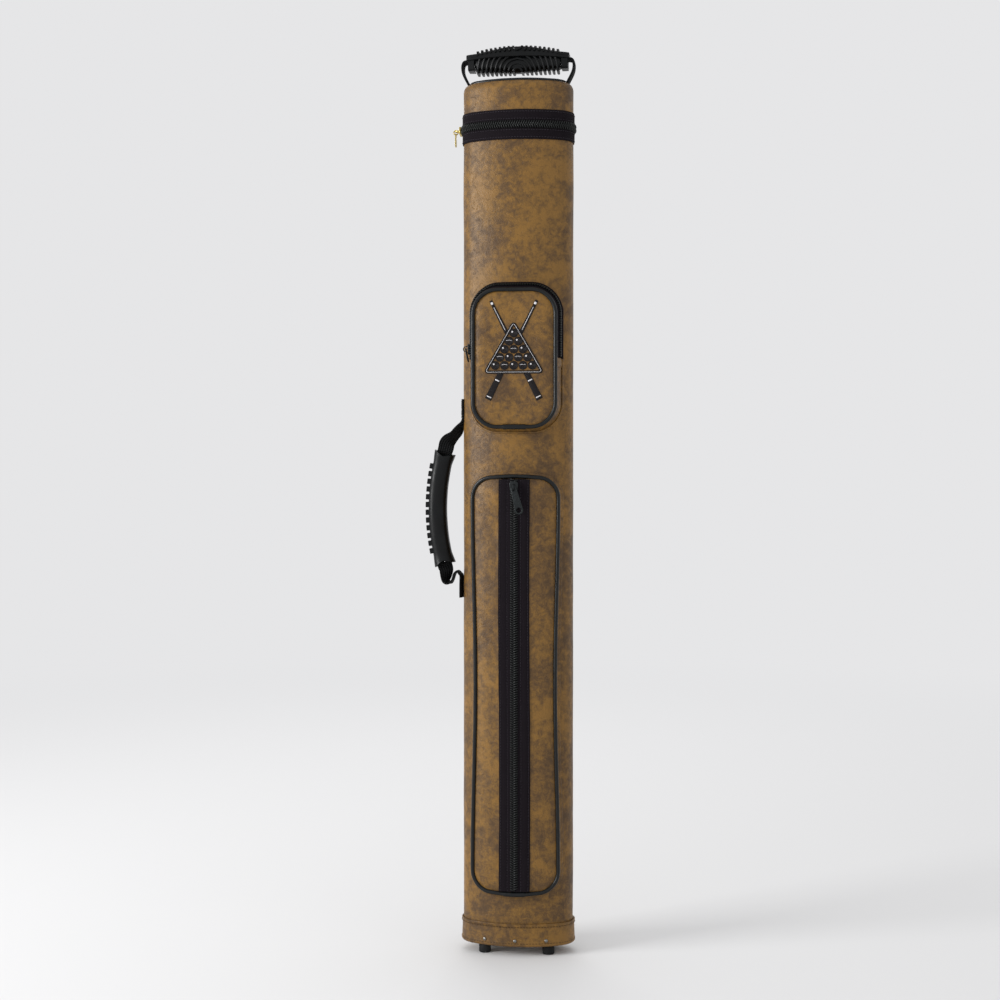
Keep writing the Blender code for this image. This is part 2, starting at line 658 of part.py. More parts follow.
def make_upper_pocket():
    against_body = oval_cutter("upper_pocket_seat", GAP)
    above_base = oval_cutter("upper_pocket_zip_seat", 2 * GAP + ZIP_BASE_HEIGHT)
    base_top = oval_cutter("upper_pocket_zip_top", GAP + ZIP_BASE_HEIGHT)
    halves = (
        ("lower", POCKET_FOLD - GAP, POCKET_LOW),
        ("flap", POCKET_FOLD + GAP, POCKET_HIGH),
    )
    for half, open_z, closed_z in halves:
        inset = PIPING_RADIUS + GAP
        way = math.copysign(1, closed_z - open_z)
        outline = u_path(POCKET_HALF_WIDTH - inset, open_z, closed_z - way * inset, POCKET_RADIUS - inset)
        back = POCKET_FRONT + POCKET_PANEL_THICK
        front_prism(f"pocket_{half}_panel", [outline], back, POCKET_FRONT, LEATHER)
        line = u_path(POCKET_HALF_WIDTH, open_z, closed_z, POCKET_RADIUS)
        points = [(x, POCKET_FRONT + POCKET_PANEL_THICK / 2, z) for x, z in line]
        wire(f"pocket_{half}_piping", points, PIPING_RADIUS, PIPING)
    gusset = gusset_ring("pocket_gusset", POCKET_FOLD - GAP, POCKET_LOW, GUSSET_WALL, LEATHER)
    boolean(gusset, against_body)
    tape = gusset_ring("pocket_flap_zip", POCKET_FOLD + GAP, POCKET_HIGH, GUSSET_WALL, TAPE)
    boolean(tape, above_base)
    base = gusset_ring("pocket_zip_base", POCKET_FOLD + GAP, POCKET_HIGH, ZIP_BASE_WALL, TAPE)
    boolean(base, against_body)
    boolean(base, base_top, "INTERSECT")


def make_upper_slider():
    """A small slider on the left of the pocket's gusset; its pull leans back against the gusset."""
    x, y, z = UPPER_SLIDER_PLACE
    size = (SLIDER_THICK, UPPER_SLIDER_WIDTH, UPPER_SLIDER_LENGTH)
    plate = box("pocket_slider", size, UPPER_SLIDER_PLACE, BLACK_METAL)
    top = -x + SLIDER_THICK / 2
    arch = [(-out, y, z + along) for out, along in bridge_arch(-x, top)]
    joined(as_mesh(plate), as_mesh(wire("bridge", arch, BRIDGE_WIRE, BLACK_METAL)))
    outlines = [pull_outline(*UPPER_PULL), pull_window(UPPER_PULL_WINDOW)]
    tab = prism("pocket_pull", outlines, 0, PULL_THICK, BLACK_METAL)
    lean = Matrix.Rotation(-math.radians(UPPER_PULL_LEAN), 4, "Y")
    hang = Matrix.Rotation(math.pi / 2, 4, "Z") @ Matrix.Rotation(math.pi / 2, 4, "X")
    tab.matrix_basis = Matrix.Translation((-(top + PULL_OUT), y, z)) @ lean @ hang


# ---- Lower pocket -------------------------------------------------------------------------------


def front_slab(name, low_offset, high_offset, kind):
    """The front of the oval between two offsets, over the height of the lower pocket."""
    spare, side = 0.01, 8  # past the pocket's ends, and degrees short of the oval's sides
    outline = band(low_offset, high_offset, 180 + side, 360 - side)
    return as_mesh(prism(name, [outline], LONG_LOW - spare, LONG_HIGH + spare, kind))


def long_cutter(name, outlines):
    return as_mesh(front_prism(name, outlines, 0.0, -0.060, None))


def make_lower_pocket():
    inset = PIPING_RADIUS + GAP
    edge = long_outline(-inset)
    for side, way in (("left", -1), ("right", 1)):
        half = [(x, z) for x, z in edge if x * way > LONG_LIP]
        ends = sorted({half[0][1], half[-1][1]})
        order = half if half[0][1] < half[-1][1] else half[::-1]
        strip = [(way * LONG_LIP, ends[0]), *order, (way * LONG_LIP, ends[1])]
        panel = front_slab(f"long_pocket_panel_{side}", *LONG_SKIN, LEATHER)
        boolean(panel, long_cutter(f"long_pocket_edge_{side}", [strip]), "INTERSECT")

    gusset = front_slab("long_pocket_gusset", GAP, LONG_PIPING_OFFSET - PIPING_RADIUS - GAP, LEATHER)
    ring = [long_outline(GUSSET_OVER), long_outline(GUSSET_OVER - GUSSET_WALL)]
    boolean(gusset, long_cutter("long_pocket_wall", ring), "INTERSECT")

    line = long_outline(0)
    points = [(x, -front_depth(x, LONG_PIPING_OFFSET), z) for x, z in line]
    wire("long_pocket_piping", points, PIPING_RADIUS, PIPING, closed=True)

    low, high = LONG_LOW + inset, LONG_HIGH - inset
    base, tape_top = LONG_SKIN[1] + GAP, LONG_SKIN[1] + GAP + TAPE_THICK
    middle = 0.009  # offset at which the widths of the coil and the tape are taken
    for side, way in (("left", -1), ("right", 1)):
        coil = [front_angle(way * x, middle) for x in LONG_COIL]
        tape = [front_angle(way * x, middle) for x in (LONG_COIL[1] + COIL_STEP, LONG_TAPE)]
        outline = [oval_point(coil[0], base), oval_point(coil[0], base + COIL_THICK)]
        outline += [oval_point(coil[1], base + COIL_THICK), oval_point(tape[0], tape_top)]
        outline += [oval_point((tape[0] + tape[1]) / 2, tape_top), oval_point(tape[1], tape_top)]
        outline += [oval_point(tape[1], base), oval_point((tape[0] + tape[1]) / 2, base)]
        prism(f"long_pocket_zip_{side}", [outline], low, high, TAPE)


def make_lower_slider():
    face = HALF_DEPTH + LONG_SKIN[1] + GAP + COIL_THICK + GAP
    top = face + SLIDER_THICK
    centre = (0, -(face + top) / 2, LONG_SLIDER_Z)
    size = (LONG_SLIDER_WIDTH, SLIDER_THICK, SLIDER_LENGTH)
    plate = box("long_pocket_slider", size, centre, BLACK_METAL)
    lip_size, lip_in, foot_in = (0.0009, 0.0014, SLIDER_LENGTH - 0.001), 0.0002, 0.0005
    lip_x = (LONG_SLIDER_WIDTH - lip_size[0]) / 2
    lips = []
    for way in (-1, 1):
        place = (way * lip_x, -face + lip_in, LONG_SLIDER_Z)
        lips.append(box(f"lip_{way}", lip_size, place, BLACK_METAL))
    arch = [(0, -out, LONG_SLIDER_Z + along) for out, along in bridge_arch(face + foot_in, top)]
    bridge = wire("bridge", arch, BRIDGE_WIRE, BLACK_METAL)
    joined(as_mesh(plate), *[as_mesh(lip) for lip in lips], as_mesh(bridge))

    hole = circle(0, LONG_PULL[1] - LONG_PULL[2], PULL_HOLE, 14)
    outlines = [pull_outline(*LONG_PULL), pull_window(LONG_PULL_WINDOW), hole]
    tab = prism("long_pocket_pull", outlines, 0, PULL_THICK, BLACK_METAL)
    tilt = Matrix.Rotation(-math.radians(LONG_PULL_TILT), 4, "Y")
    hang = Matrix.Rotation(math.pi / 2, 4, "X")
    tab.matrix_basis = Matrix.Translation((0, -(top + PULL_OUT), LONG_SLIDER_Z)) @ tilt @ hang


# ---- Handles ------------------------------------------------------------------------------------


def oblong(half_a, half_b, steps=14, power=2.6):
    """A soft rectangle: a superellipse in two axes."""
    points = []
    for i in range(steps):
        turn = 2 * math.pi * i / steps
        a, b = math.cos(turn), math.sin(turn)
        points.append(
            (
                half_a * math.copysign(abs(a) ** (2 / power), a),
                half_b * math.copysign(abs(b) ** (2 / power), b),
            )
        )
    return points


def strap(name, stations, thick, kind):
    """A flat strap through stations of (centre, width direction, half width)."""
    sections = []
    for i, (centre, across, half) in enumerate(stations):
        before, after = stations[max(i - 1, 0)][0], stations[min(i + 1, len(stations) - 1)][0]
        along = (Vector(after) - Vector(before)).normalized()
        side = Vector(across)
        side = (side - along * side.dot(along)).normalized()
        up = side.cross(along)
        corners = ((1, 1), (1, -1), (-1, -1), (-1, 1))
        section = []
        for a, b in corners:
            section.append(Vector(centre) + side * a * half + up * b * thick / 2)
        sections.append(section)
    return loft(name, sections, kind)


def grip_frame(turn):
    """The middle of the side grip at this angle along its bend, and the direction away from the tube."""
    away = Vector((-math.cos(turn), 0, math.sin(turn)))
    return Vector((GRIP_MIDDLE_X + GRIP_BEND, 0, GRIP_Z)) + away * GRIP_BEND, away


def grip_mouth(way, out, twist, half):
    """A strap's station this far out of the grip's upper (1) or lower (-1) end."""
    centre, away = grip_frame(way * (GRIP_HALF_LENGTH + out) / GRIP_BEND)
    return centre, Vector((0, twist, 0)) - away, half


def make_side_handle():
    """A bowed grip on two webbing straps that leave patches sewn to the left side."""
    for name, (low, high) in PATCHES.items():
        outline = band(GAP, GAP + PATCH_THICK, 180 - PATCH_HALF_ANGLE, 180 + PATCH_HALF_ANGLE)
        prism(f"strap_patch_{name}", [outline], low, high, WEBBING)
    sections = []
    count = 10
    for i in range(count + 1):
        share = 2 * i / count - 1
        centre, away = grip_frame(GRIP_HALF_LENGTH / GRIP_BEND * share)
        flare = 1.0 + 0.12 * abs(share) ** 6
        shape = oblong(GRIP_RADIAL * flare, GRIP_DEPTH * flare)
        sections.append([centre + away * a + Vector((0, b, 0)) for a, b in shape])
    loft("side_grip", sections, RUBBER)
    top, bottom = PATCHES["upper"][0], PATCHES["lower"][1]
    upper = [
        ((SWING_X, 0, top - GAP), (0, 1, 0), 0.0026),
        ((SWING_X - 0.0012, 0, top - 0.0060), (0.3, 1, 0), 0.0030),
        ((SWING_X - 0.0055, 0, top - 0.0140), (1, 1, 0), 0.0040),
        grip_mouth(1, 0.0080, 0.2, 0.0065),
        grip_mouth(1, GAP, 0, 0.0075),
    ]
    strap("side_strap_upper", upper, STRAP_THICK, WEBBING)
    lower = [
        ((SWING_X, 0, bottom + GAP), (0, 1, 0), 0.0026),
        ((SWING_X - 0.0006, 0, bottom + 0.0022), (0, 1, 0), 0.0027),
        ((SWING_X - 0.0028, 0, bottom + 0.0032), (0, 1, 0), 0.0028),
        ((SWING_X - 0.0050, 0, bottom + 0.0008), (0, 1, 0), 0.0029),
        ((SWING_X - 0.0068, 0, bottom - 0.0060), (0, 1, 0), 0.0032),
        ((SWING_X - 0.0098, 0, bottom - 0.0095), (0.2, 1, 0), 0.0038),
        ((SWING_X - 0.0128, 0, bottom - 0.0070), (0.6, 1, 0), 0.0045),
        grip_mouth(-1, 0.0055, 0.3, 0.0065),
        grip_mouth(-1, GAP, 0, 0.0075),
    ]
    strap("side_strap_lower", lower, STRAP_THICK, WEBBING)


def make_top_handle():
    """A moulded grip over the cap, carried by two short straps from the piped seam."""
    count = 10
    sections = []
    for i in range(count + 1):
        share = 2 * i / count - 1
        high = TOP_GRIP_HIGH - (TOP_GRIP_HIGH - TOP_GRIP_END_HIGH) * share**2
        middle, half = (high + TOP_GRIP_LOW) / 2, (high - TOP_GRIP_LOW) / 2
        depth = TOP_GRIP_DEPTH * (1 - 0.35 * share**4)
        shape = oblong(depth, half, steps=16, power=2.2)
        sections.append([(TOP_GRIP_HALF * share, y, middle + z) for y, z in shape])
    loft("top_grip", sections, RUBBER)
    end, high = TOP_GRIP_HALF + GAP, TOP_STRAP_HIGH
    for side, way in (("left", -1), ("right", 1)):
        anchor = [
            ((way * (TOP_STRAP_X - 0.0026), 0, SEAM_Z + 0.0010), (0, 1, 0), TOP_STRAP_HALF),
            ((way * (TOP_STRAP_X - 0.0010), 0, TOP_SWING_Z - 0.0023), (0, 1, 0), TOP_STRAP_HALF),
        ]
        strap(f"top_strap_anchor_{side}", anchor, STRAP_THICK, WEBBING)
        stations = [
            ((way * (end + 0.0001), 0, high), (0, 1, 0), TOP_STRAP_HALF),
            ((way * (end + 0.0018), 0, high - 0.0001), (0, 1, 0), TOP_STRAP_HALF),
            ((way * (end + 0.0034), 0, high - 0.0016), (0, 1, 0), TOP_STRAP_HALF),
            ((way * (end + 0.0041), 0, high - 0.0058), (0, 1, 0), 0.0066),
            ((way * (end + 0.0032), 0, high - 0.0115), (0, 1, 0), 0.0046),
            ((way * TOP_STRAP_X, 0, TOP_SWING_Z + GAP), (0, 1, 0), 0.0030),
        ]
        strap(f"top_strap_{side}", stations, STRAP_THICK, WEBBING)


tack_holes = make_tack_holes()
make_body(tack_holes)
make_core()
make_feet()
make_tacks()
make_cap()
make_cap_slider()
make_upper_pocket()
make_upper_slider()
make_lower_pocket()
make_lower_slider()
make_side_handle()
make_top_handle()
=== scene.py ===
"""Looks of an oval hard cue case: leatherette skins, pockets, zippers, handles and fittings.

Everything is in metres, +Z up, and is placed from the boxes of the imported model. Shapes are made
about the axis of the oval tube, which AXIS moves to its place. The front faces -Y.
"""

import json
import math

import bmesh
import bpy
import numpy as np
from mathutils import Matrix, Vector, noise


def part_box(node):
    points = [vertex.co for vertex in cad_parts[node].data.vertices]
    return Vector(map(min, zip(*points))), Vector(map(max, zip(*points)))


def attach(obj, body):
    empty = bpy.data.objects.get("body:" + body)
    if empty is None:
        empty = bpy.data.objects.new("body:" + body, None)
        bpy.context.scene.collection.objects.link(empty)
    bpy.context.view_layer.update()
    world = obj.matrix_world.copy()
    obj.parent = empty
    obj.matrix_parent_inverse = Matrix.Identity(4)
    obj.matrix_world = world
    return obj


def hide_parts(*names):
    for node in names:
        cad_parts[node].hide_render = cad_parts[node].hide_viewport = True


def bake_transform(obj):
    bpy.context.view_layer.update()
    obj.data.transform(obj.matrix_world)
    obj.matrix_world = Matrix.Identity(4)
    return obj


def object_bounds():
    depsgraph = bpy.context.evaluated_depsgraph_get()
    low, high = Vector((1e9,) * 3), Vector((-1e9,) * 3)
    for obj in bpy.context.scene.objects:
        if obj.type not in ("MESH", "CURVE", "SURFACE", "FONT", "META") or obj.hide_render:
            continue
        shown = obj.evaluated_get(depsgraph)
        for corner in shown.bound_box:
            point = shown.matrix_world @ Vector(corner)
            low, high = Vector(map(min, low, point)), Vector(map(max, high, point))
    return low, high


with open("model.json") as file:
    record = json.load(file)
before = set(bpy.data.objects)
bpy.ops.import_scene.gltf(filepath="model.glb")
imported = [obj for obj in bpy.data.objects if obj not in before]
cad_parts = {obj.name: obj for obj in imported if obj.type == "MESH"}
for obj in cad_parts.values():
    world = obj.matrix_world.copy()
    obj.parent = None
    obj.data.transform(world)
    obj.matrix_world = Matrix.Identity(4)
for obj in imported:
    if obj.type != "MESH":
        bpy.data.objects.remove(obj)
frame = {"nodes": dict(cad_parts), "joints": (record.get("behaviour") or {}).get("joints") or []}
CAD_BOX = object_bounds()

# ---- Places read from the frame -----------------------------------------------------------------

COVER_LOW, COVER_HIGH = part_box("body_cover")
AXIS = Vector(((COVER_LOW.x + COVER_HIGH.x) / 2, (COVER_LOW.y + COVER_HIGH.y) / 2, 0))


def near(node):
    """A node's lowest and highest corners, from the axis of the tube."""
    low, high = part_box(node)
    return low - AXIS, high - AXIS


def placed(name, data):
    """A new object with this mesh, curve, light or camera, in the scene."""
    made = bpy.data.objects.new(name, data)
    bpy.context.scene.collection.objects.link(made)
    return made


HALF_WIDTH, HALF_DEPTH = near("body_cover")[1].xy
BODY_LOW, BODY_HIGH = COVER_LOW.z, COVER_HIGH.z
CAP_LOW, SEAM_Z = near("cap_cover")[0].z, near("cap_cover")[1].z
SPLIT_Z = (BODY_HIGH + CAP_LOW) / 2
CUP_LOW, CUP_HIGH = near("base_cup")[0].z, near("base_cup")[1].z
CUP_OUT = near("base_cup")[1].x - HALF_WIDTH
TAPE_REACH = near("cap_zip")[1].z - SPLIT_Z
TOP_PIPING_LOW, TOP_PIPING_HIGH = near("cap_piping")
PIPING_RADIUS = (TOP_PIPING_HIGH.z - TOP_PIPING_LOW.z) / 2
TOP_PIPING_OFFSET = TOP_PIPING_HIGH.x - PIPING_RADIUS - HALF_WIDTH
TOP_PIPING_Z = TOP_PIPING_HIGH.z - PIPING_RADIUS

# ---- Driving dimensions of the looks ------------------------------------------------------------

# The oval: small end arcs and large front and rear arcs, all tangent.
END_RADIUS = 0.022
END_CENTRE = HALF_WIDTH - END_RADIUS
DEPTH_STEP = HALF_DEPTH - END_RADIUS
LONG_CENTRE = (END_CENTRE**2 - DEPTH_STEP**2) / (2 * DEPTH_STEP)
LONG_RADIUS = LONG_CENTRE + HALF_DEPTH
SEAM_ANGLE = math.degrees(math.atan2(LONG_CENTRE, END_CENTRE))
LEFT, FRONT, REAR = 180, 270, 90  # normal angles of three of the sides
X_AXIS, Y_AXIS, Z_AXIS = Matrix.Identity(3)
METAL_SHARP = 35  # degrees from which an edge of a fitting stays sharp
SIDES = ((-1, "left"), (1, "right"))

SKIN = 0.0011  # thickness of the leatherette
SHOULDER_Z = 0.8490  # where the cap's wall starts to round in
SEAM_OFFSET = -0.0058  # from the cap's wall in to the seam on its top
FLAP_ANGLE = 18.0  # half of the rear stretch where leather stands for the zipper
TOOTH_PITCH = 0.0023
COIL_REACH = 0.0042  # from a zipper's line to the outer edge of its coil
TAPE_THICK = 0.0008
TAPE_DIP = 0.0003  # how far a tape is drawn down at its stitches and its edge
RIB_END = 0.0034  # from a zipper's line to where the plain tape starts
STITCH_WIDTH, STITCH_HEIGHT = 0.0006, 0.00035
PLATE_LIFT = 0.0008  # from a zipper's teeth to the middle of its slider's plate

# Upper pocket.
POCKET_LOW = near("pocket_lower_piping")[0].z + PIPING_RADIUS
POCKET_HIGH = near("pocket_flap_piping")[1].z - PIPING_RADIUS
POCKET_HALF = near("pocket_lower_piping")[1].x - PIPING_RADIUS
POCKET_PIPING_Y = near("pocket_lower_piping")[0].y + PIPING_RADIUS
POCKET_FOLD = (near("pocket_lower_panel")[1].z + near("pocket_flap_panel")[0].z) / 2
POCKET_FRONT = near("pocket_flap_panel")[0].y
POCKET_CORNER = 0.0240
POCKET_CROWN = 0.0014  # how far the middle of the front is before its edge
GUSSET_FLARE = 0.0038  # how far the pocket's wall spreads from the piping to the body
TOP_FLARE = 0.0022  # how much more it spreads at its top
FOLD_REACH = 0.0085  # half of the stretch over which the front bends
POCKET_BEND = ("pocket_flap", *[Vector((0, 0, POCKET_FOLD + step)) for step in (-FOLD_REACH, FOLD_REACH)])
ZIP_SHARE = 0.69  # where the zipper runs on the pocket's wall, from the piping at 0 to the body at 1
ZIP_GAP = 0.012  # from there to the edge of each tape, as the same kind of share

# Lower pocket.
LONG_LOW = near("long_pocket_piping")[0].z + PIPING_RADIUS
LONG_HIGH = near("long_pocket_piping")[1].z - PIPING_RADIUS
LONG_HALF = near("long_pocket_piping")[1].x - PIPING_RADIUS
LONG_CORNER = 0.0200
LONG_WAIST = 0.0030  # how much nearer the middle the sides are halfway up
LONG_BOW = 0.0012  # how far the ends bulge
LONG_PIPING_OFFSET = 0.0072  # from the oval to the middle of the piping
LONG_SKIN_EDGE, LONG_SKIN_TOP = 0.0066, 0.0082
LONG_LIP = 0.0120  # from the zipper's line to the inner edge of the leather
LONG_TAPE = 0.0152  # from the zipper's line to the outer edge of the tape, over the leather
LONG_INSET = PIPING_RADIUS - 0.0005  # from the piping's line in to the edge of the leather
LONG_SKIN_LOW, LONG_SKIN_HIGH = LONG_LOW + LONG_BOW + LONG_INSET, LONG_HIGH - LONG_BOW - LONG_INSET

# ---- Materials ----------------------------------------------------------------------------------


def node(tree, kind, inputs=None, **settings):
    """A shader node; an input given as a socket is linked, and any other value is set."""
    made = tree.nodes.new("ShaderNode" + kind)
    for name, value in settings.items():
        setattr(made, name, value)
    for name, value in (inputs or {}).items():
        if isinstance(value, bpy.types.NodeSocket):
            tree.links.new(value, made.inputs[name])
        else:
            made.inputs[name].default_value = value
    return made


def colour(red, green, blue):
    """A display colour from 0 to 255, as the linear colour that a shader takes."""

    def linear(part):
        part /= 255
        return part / 12.92 if part <= 0.04045 else ((part + 0.055) / 1.055) ** 2.4

    return (linear(red), linear(green), linear(blue), 1)


def new_material(name, base, roughness, metallic=0.0, specular=0.5):
    """A Principled material with plain values, to which patterns are then linked."""
    made = bpy.data.materials.new(name)
    made.use_nodes = True
    values = {"Base Color": base, "Roughness": roughness, "Metallic": metallic}
    values["Specular IOR Level"] = specular
    for label, value in values.items():
        made.node_tree.nodes["Principled BSDF"].inputs[label].default_value = value
    return made, made.node_tree


def finished(made, shade, gloss, *layers):
    """Links a colour, a roughness if one is given, and bumps to a new material.

    Each bump layer is (height, distance in metres, strength), one over the other.
    """
    tree = made.node_tree
    shader = tree.nodes["Principled BSDF"]
    tree.links.new(shade, shader.inputs["Base Color"])
    if gloss:
        tree.links.new(gloss, shader.inputs["Roughness"])
    normal = {}
    for height, distance, strength in layers:
        inputs = {"Height": height, "Distance": distance, "Strength": strength, **normal}
        normal = {"Normal": node(tree, "Bump", inputs).outputs["Normal"]}
    tree.links.new(normal["Normal"], shader.inputs["Normal"])
    return made


def place_of(tree):
    return node(tree, "TexCoord").outputs["Object"]


def cloth_place(tree):
    """Metres along and across a piece, from its weave map."""
    split = node(tree, "SeparateXYZ", {"Vector": node(tree, "UVMap", uv_map="weave").outputs["UV"]})
    return split.outputs["X"], split.outputs["Y"]


def noise_of(tree, where, scale, detail=2.0, roughness=0.5, distortion=0.0):
    inputs = {"Vector": where, "Scale": scale, "Detail": detail, "Roughness": roughness}
    inputs["Distortion"] = distortion
    return node(tree, "TexNoise", inputs).outputs["Fac"]


def cells_of(tree, where, scale, feature="F1"):
    return node(tree, "TexVoronoi", {"Vector": where, "Scale": scale}, feature=feature).outputs["Distance"]


def maths(tree, operation, first, second=0.0, third=0.0):
    made = node(tree, "Math", {0: first, 1: second, 2: third}, operation=operation)
    return made.outputs[0]


def waves(tree, value, pitch):
    """A sine along value, whose waves are this many metres long."""
    return maths(tree, "SINE", maths(tree, "MULTIPLY", value, 2 * math.pi / pitch))


def ramp(tree, value, stops):
    """A smooth colour ramp through (position, colour) stops."""
    made = node(tree, "ValToRGB", {"Fac": value})
    points = made.color_ramp.elements
    while len(points) < len(stops):
        points.new(0.5)
    for point, (position, shade) in zip(points, stops):
        point.position = position
        point.color = shade
    return made.outputs["Color"]


def span(tree, value, low, high, to_low=0.0, to_high=1.0):
    """value between low and high, mapped smoothly to another range."""
    inputs = {"Value": value, "From Min": low, "From Max": high, "To Min": to_low, "To Max": to_high}
    return node(tree, "MapRange", inputs, interpolation_type="SMOOTHSTEP").outputs["Result"]


def mix(tree, share, first, second):
    """first where share is 0 and second where it is 1; each may be a value or a socket."""
    made = node(tree, "Mix", {0: share, 6: first, 7: second}, data_type="RGBA")
    return made.outputs[2]


GOLD_TAN = colour(130, 95, 43)
DEEP_TAN = colour(113, 83, 40)
BROWN = colour(95, 70, 39)
DARK_BROWN = colour(77, 57, 35)


def leather_material():
    """Mottled leatherette: cloudy patches with feathered edges, faint creases and a pebbled grain."""
    made, tree = new_material("leatherette", GOLD_TAN, 0.5, specular=0.27)
    where = place_of(tree)
    clouds = noise_of(tree, where, 24.0, detail=3.0, roughness=0.55, distortion=0.6)
    feather = noise_of(tree, where, 150.0, detail=9.0, roughness=0.76, distortion=0.4)
    both = maths(tree, "MULTIPLY_ADD", feather, 0.72, maths(tree, "MULTIPLY", clouds, 0.50))
    stops = [(0.49, DARK_BROWN), (0.57, BROWN), (0.63, DEEP_TAN), (0.70, GOLD_TAN)]
    mottled = ramp(tree, both, stops)
    crease = span(tree, cells_of(tree, where, 95.0, "DISTANCE_TO_EDGE"), 0.0, 0.035, 1.0, 0.0)
    broken = span(tree, noise_of(tree, where, 260.0, detail=3.0), 0.5, 0.62)
    crease = maths(tree, "MULTIPLY", crease, broken)
    creased = mix(tree, maths(tree, "MULTIPLY", crease, 0.5), mottled, DARK_BROWN)
    speckle = span(tree, noise_of(tree, where, 1300.0, detail=3.0, roughness=0.7), 0.38, 0.62)
    shade = mix(tree, maths(tree, "MULTIPLY", speckle, 0.22), creased, DARK_BROWN)
    gloss = span(tree, feather, 0.3, 0.7, 0.52, 0.38)
    grain = cells_of(tree, where, 1100.0)
    pebble = noise_of(tree, where, 420.0, detail=4.0, roughness=0.6)
    layers = ((pebble, 0.0005, 0.4), (grain, 0.00025, 0.45), (crease, -0.0003, 0.5))
    return finished(made, shade, gloss, *layers)


def tape_material():
    """Zipper tape: ribs along its length, crossed by a fine weave, with painted shade in its hollows."""
    made, tree = new_material("zip_tape", colour(20, 17, 21), 0.85, specular=0.08)
    along, across = cloth_place(tree)
    rib, weft = waves(tree, across, 0.0011), waves(tree, along, 0.0007)
    weave = maths(tree, "MULTIPLY_ADD", weft, 0.4, rib)
    # Painted shade and highlight: the weave's hollows are coloured darker and its crests lighter.
    weave_shading = span(tree, weave, -1.4, 1.4)
    worn = noise_of(tree, place_of(tree), 90.0, detail=4.0)
    shade = mix(tree, weave_shading, colour(11, 9, 11), colour(30, 24, 29))
    faded = mix(tree, maths(tree, "MULTIPLY", worn, 0.2), shade, colour(34, 29, 35))
    return finished(made, faded, None, (weave, 0.00015, 0.7))


def coil_material():
    """Polyester coil: smooth black with a green cast and a soft gloss."""
    made, tree = new_material("zip_coil", colour(13, 17, 16), 0.32, specular=0.3)
    dust = noise_of(tree, place_of(tree), 700.0, detail=3.0)
    shade = mix(tree, span(tree, dust, 0.35, 0.7), colour(4, 7, 6), colour(16, 20, 19))
    return finished(made, shade, span(tree, dust, 0.3, 0.7, 0.32, 0.5), (dust, 0.0001, 0.3))


def piping_material():
    """Vinyl over a cord: satin black with fine creases round it."""
    made, tree = new_material("piping_vinyl", colour(12, 15, 16), 0.3, specular=0.28)
    where = place_of(tree)
    fine, soft = [noise_of(tree, where, scale, detail=3.0) for scale in (900.0, 160.0)]
    shade = mix(tree, soft, colour(7, 9, 10), colour(17, 20, 21))
    gloss = span(tree, soft, 0.3, 0.7, 0.27, 0.42)
    return finished(made, shade, gloss, (soft, 0.0006, 0.25), (fine, 0.0001, 0.35))


def webbing_material():
    """Woven strap: a twill of thick black yarns, with painted shade between them."""
    made, tree = new_material("webbing", colour(12, 12, 13), 0.8, specular=0.12)
    along, across = cloth_place(tree)
    yarn = waves(tree, across, 0.0022)
    twill = waves(tree, maths(tree, "MULTIPLY_ADD", across, 0.8, along), 0.0026)
    weave = maths(tree, "MULTIPLY_ADD", twill, 0.7, yarn)
    # Painted shade and highlight: darker in the hollows between the yarns, lighter on their crests.
    shade = mix(tree, span(tree, weave, -1.7, 1.7), colour(6, 6, 7), colour(24, 25, 26))
    return finished(made, shade, None, (weave, 0.00035, 0.8))


def rubber_material(name, dark, light, roughness):
    """Moulded rubber: spark-eroded grain with shinier, handled patches."""
    made, tree = new_material(name, dark, roughness, specular=0.19)
    where = place_of(tree)
    grain = noise_of(tree, where, 2200.0, detail=2.0)
    handled = noise_of(tree, where, 70.0, detail=3.0)
    shade = mix(tree, span(tree, handled, 0.3, 0.7), dark, light)
    gloss = span(tree, handled, 0.3, 0.7, roughness + 0.1, roughness - 0.08)
    return finished(made, shade, gloss, (grain, 0.0001, 0.4))


def metal_material(name, base, worn, roughness, metallic):
    """Plated or painted metal, worn brighter where it is rubbed."""
    made, tree = new_material(name, base, roughness, metallic)
    where = place_of(tree)
    rub = noise_of(tree, where, 700.0, detail=4.0, roughness=0.6)
    shade = mix(tree, span(tree, rub, 0.5, 0.9), base, worn)
    gloss = span(tree, rub, 0.3, 0.7, roughness - 0.06, roughness + 0.14)
    grain = noise_of(tree, where, 1600.0, detail=2.0)
    return finished(made, shade, gloss, (grain, 0.0001, 0.15))


def thread_material(name, dark, light):
    """Embroidery and sewing thread: satin stitches laid side by side, with painted shade between them."""
    made, tree = new_material(name, dark, 0.5, specular=0.2)
    strand = waves(tree, cloth_place(tree)[0], 0.0005)
    # Painted shade and highlight: darker between the strands, lighter on their crests.
    shade = mix(tree, span(tree, strand, -1, 1), dark, light)
    return finished(made, shade, None, (strand, 0.00012, 0.7))


def foam_material(name, dark, light):
    """Soft foam with open pores, painted darker in the pores as shade."""
    made, tree = new_material(name, dark, 0.95)
    pores = cells_of(tree, place_of(tree), 900.0)
    # Painted shade: the pits of the pores are coloured darker.
    shade = mix(tree, span(tree, pores, 0.2, 0.8), dark, light)
    return finished(made, shade, None, (pores, 0.0004, 0.8))


def wood_material():
    """Ply seen on its face: long soft grain."""
    made, tree = new_material("base_ply", colour(176, 140, 94), 0.7)
    stretch = node(tree, "Mapping", {"Vector": place_of(tree), "Scale": (18.0, 260.0, 260.0)})
    grain = noise_of(tree, stretch.outputs[0], 1.0, detail=6.0, roughness=0.65)
    shade = mix(tree, span(tree, grain, 0.3, 0.7), colour(143, 106, 66), colour(196, 162, 114))
    return finished(made, shade, None, (grain, 0.0002, 0.4))


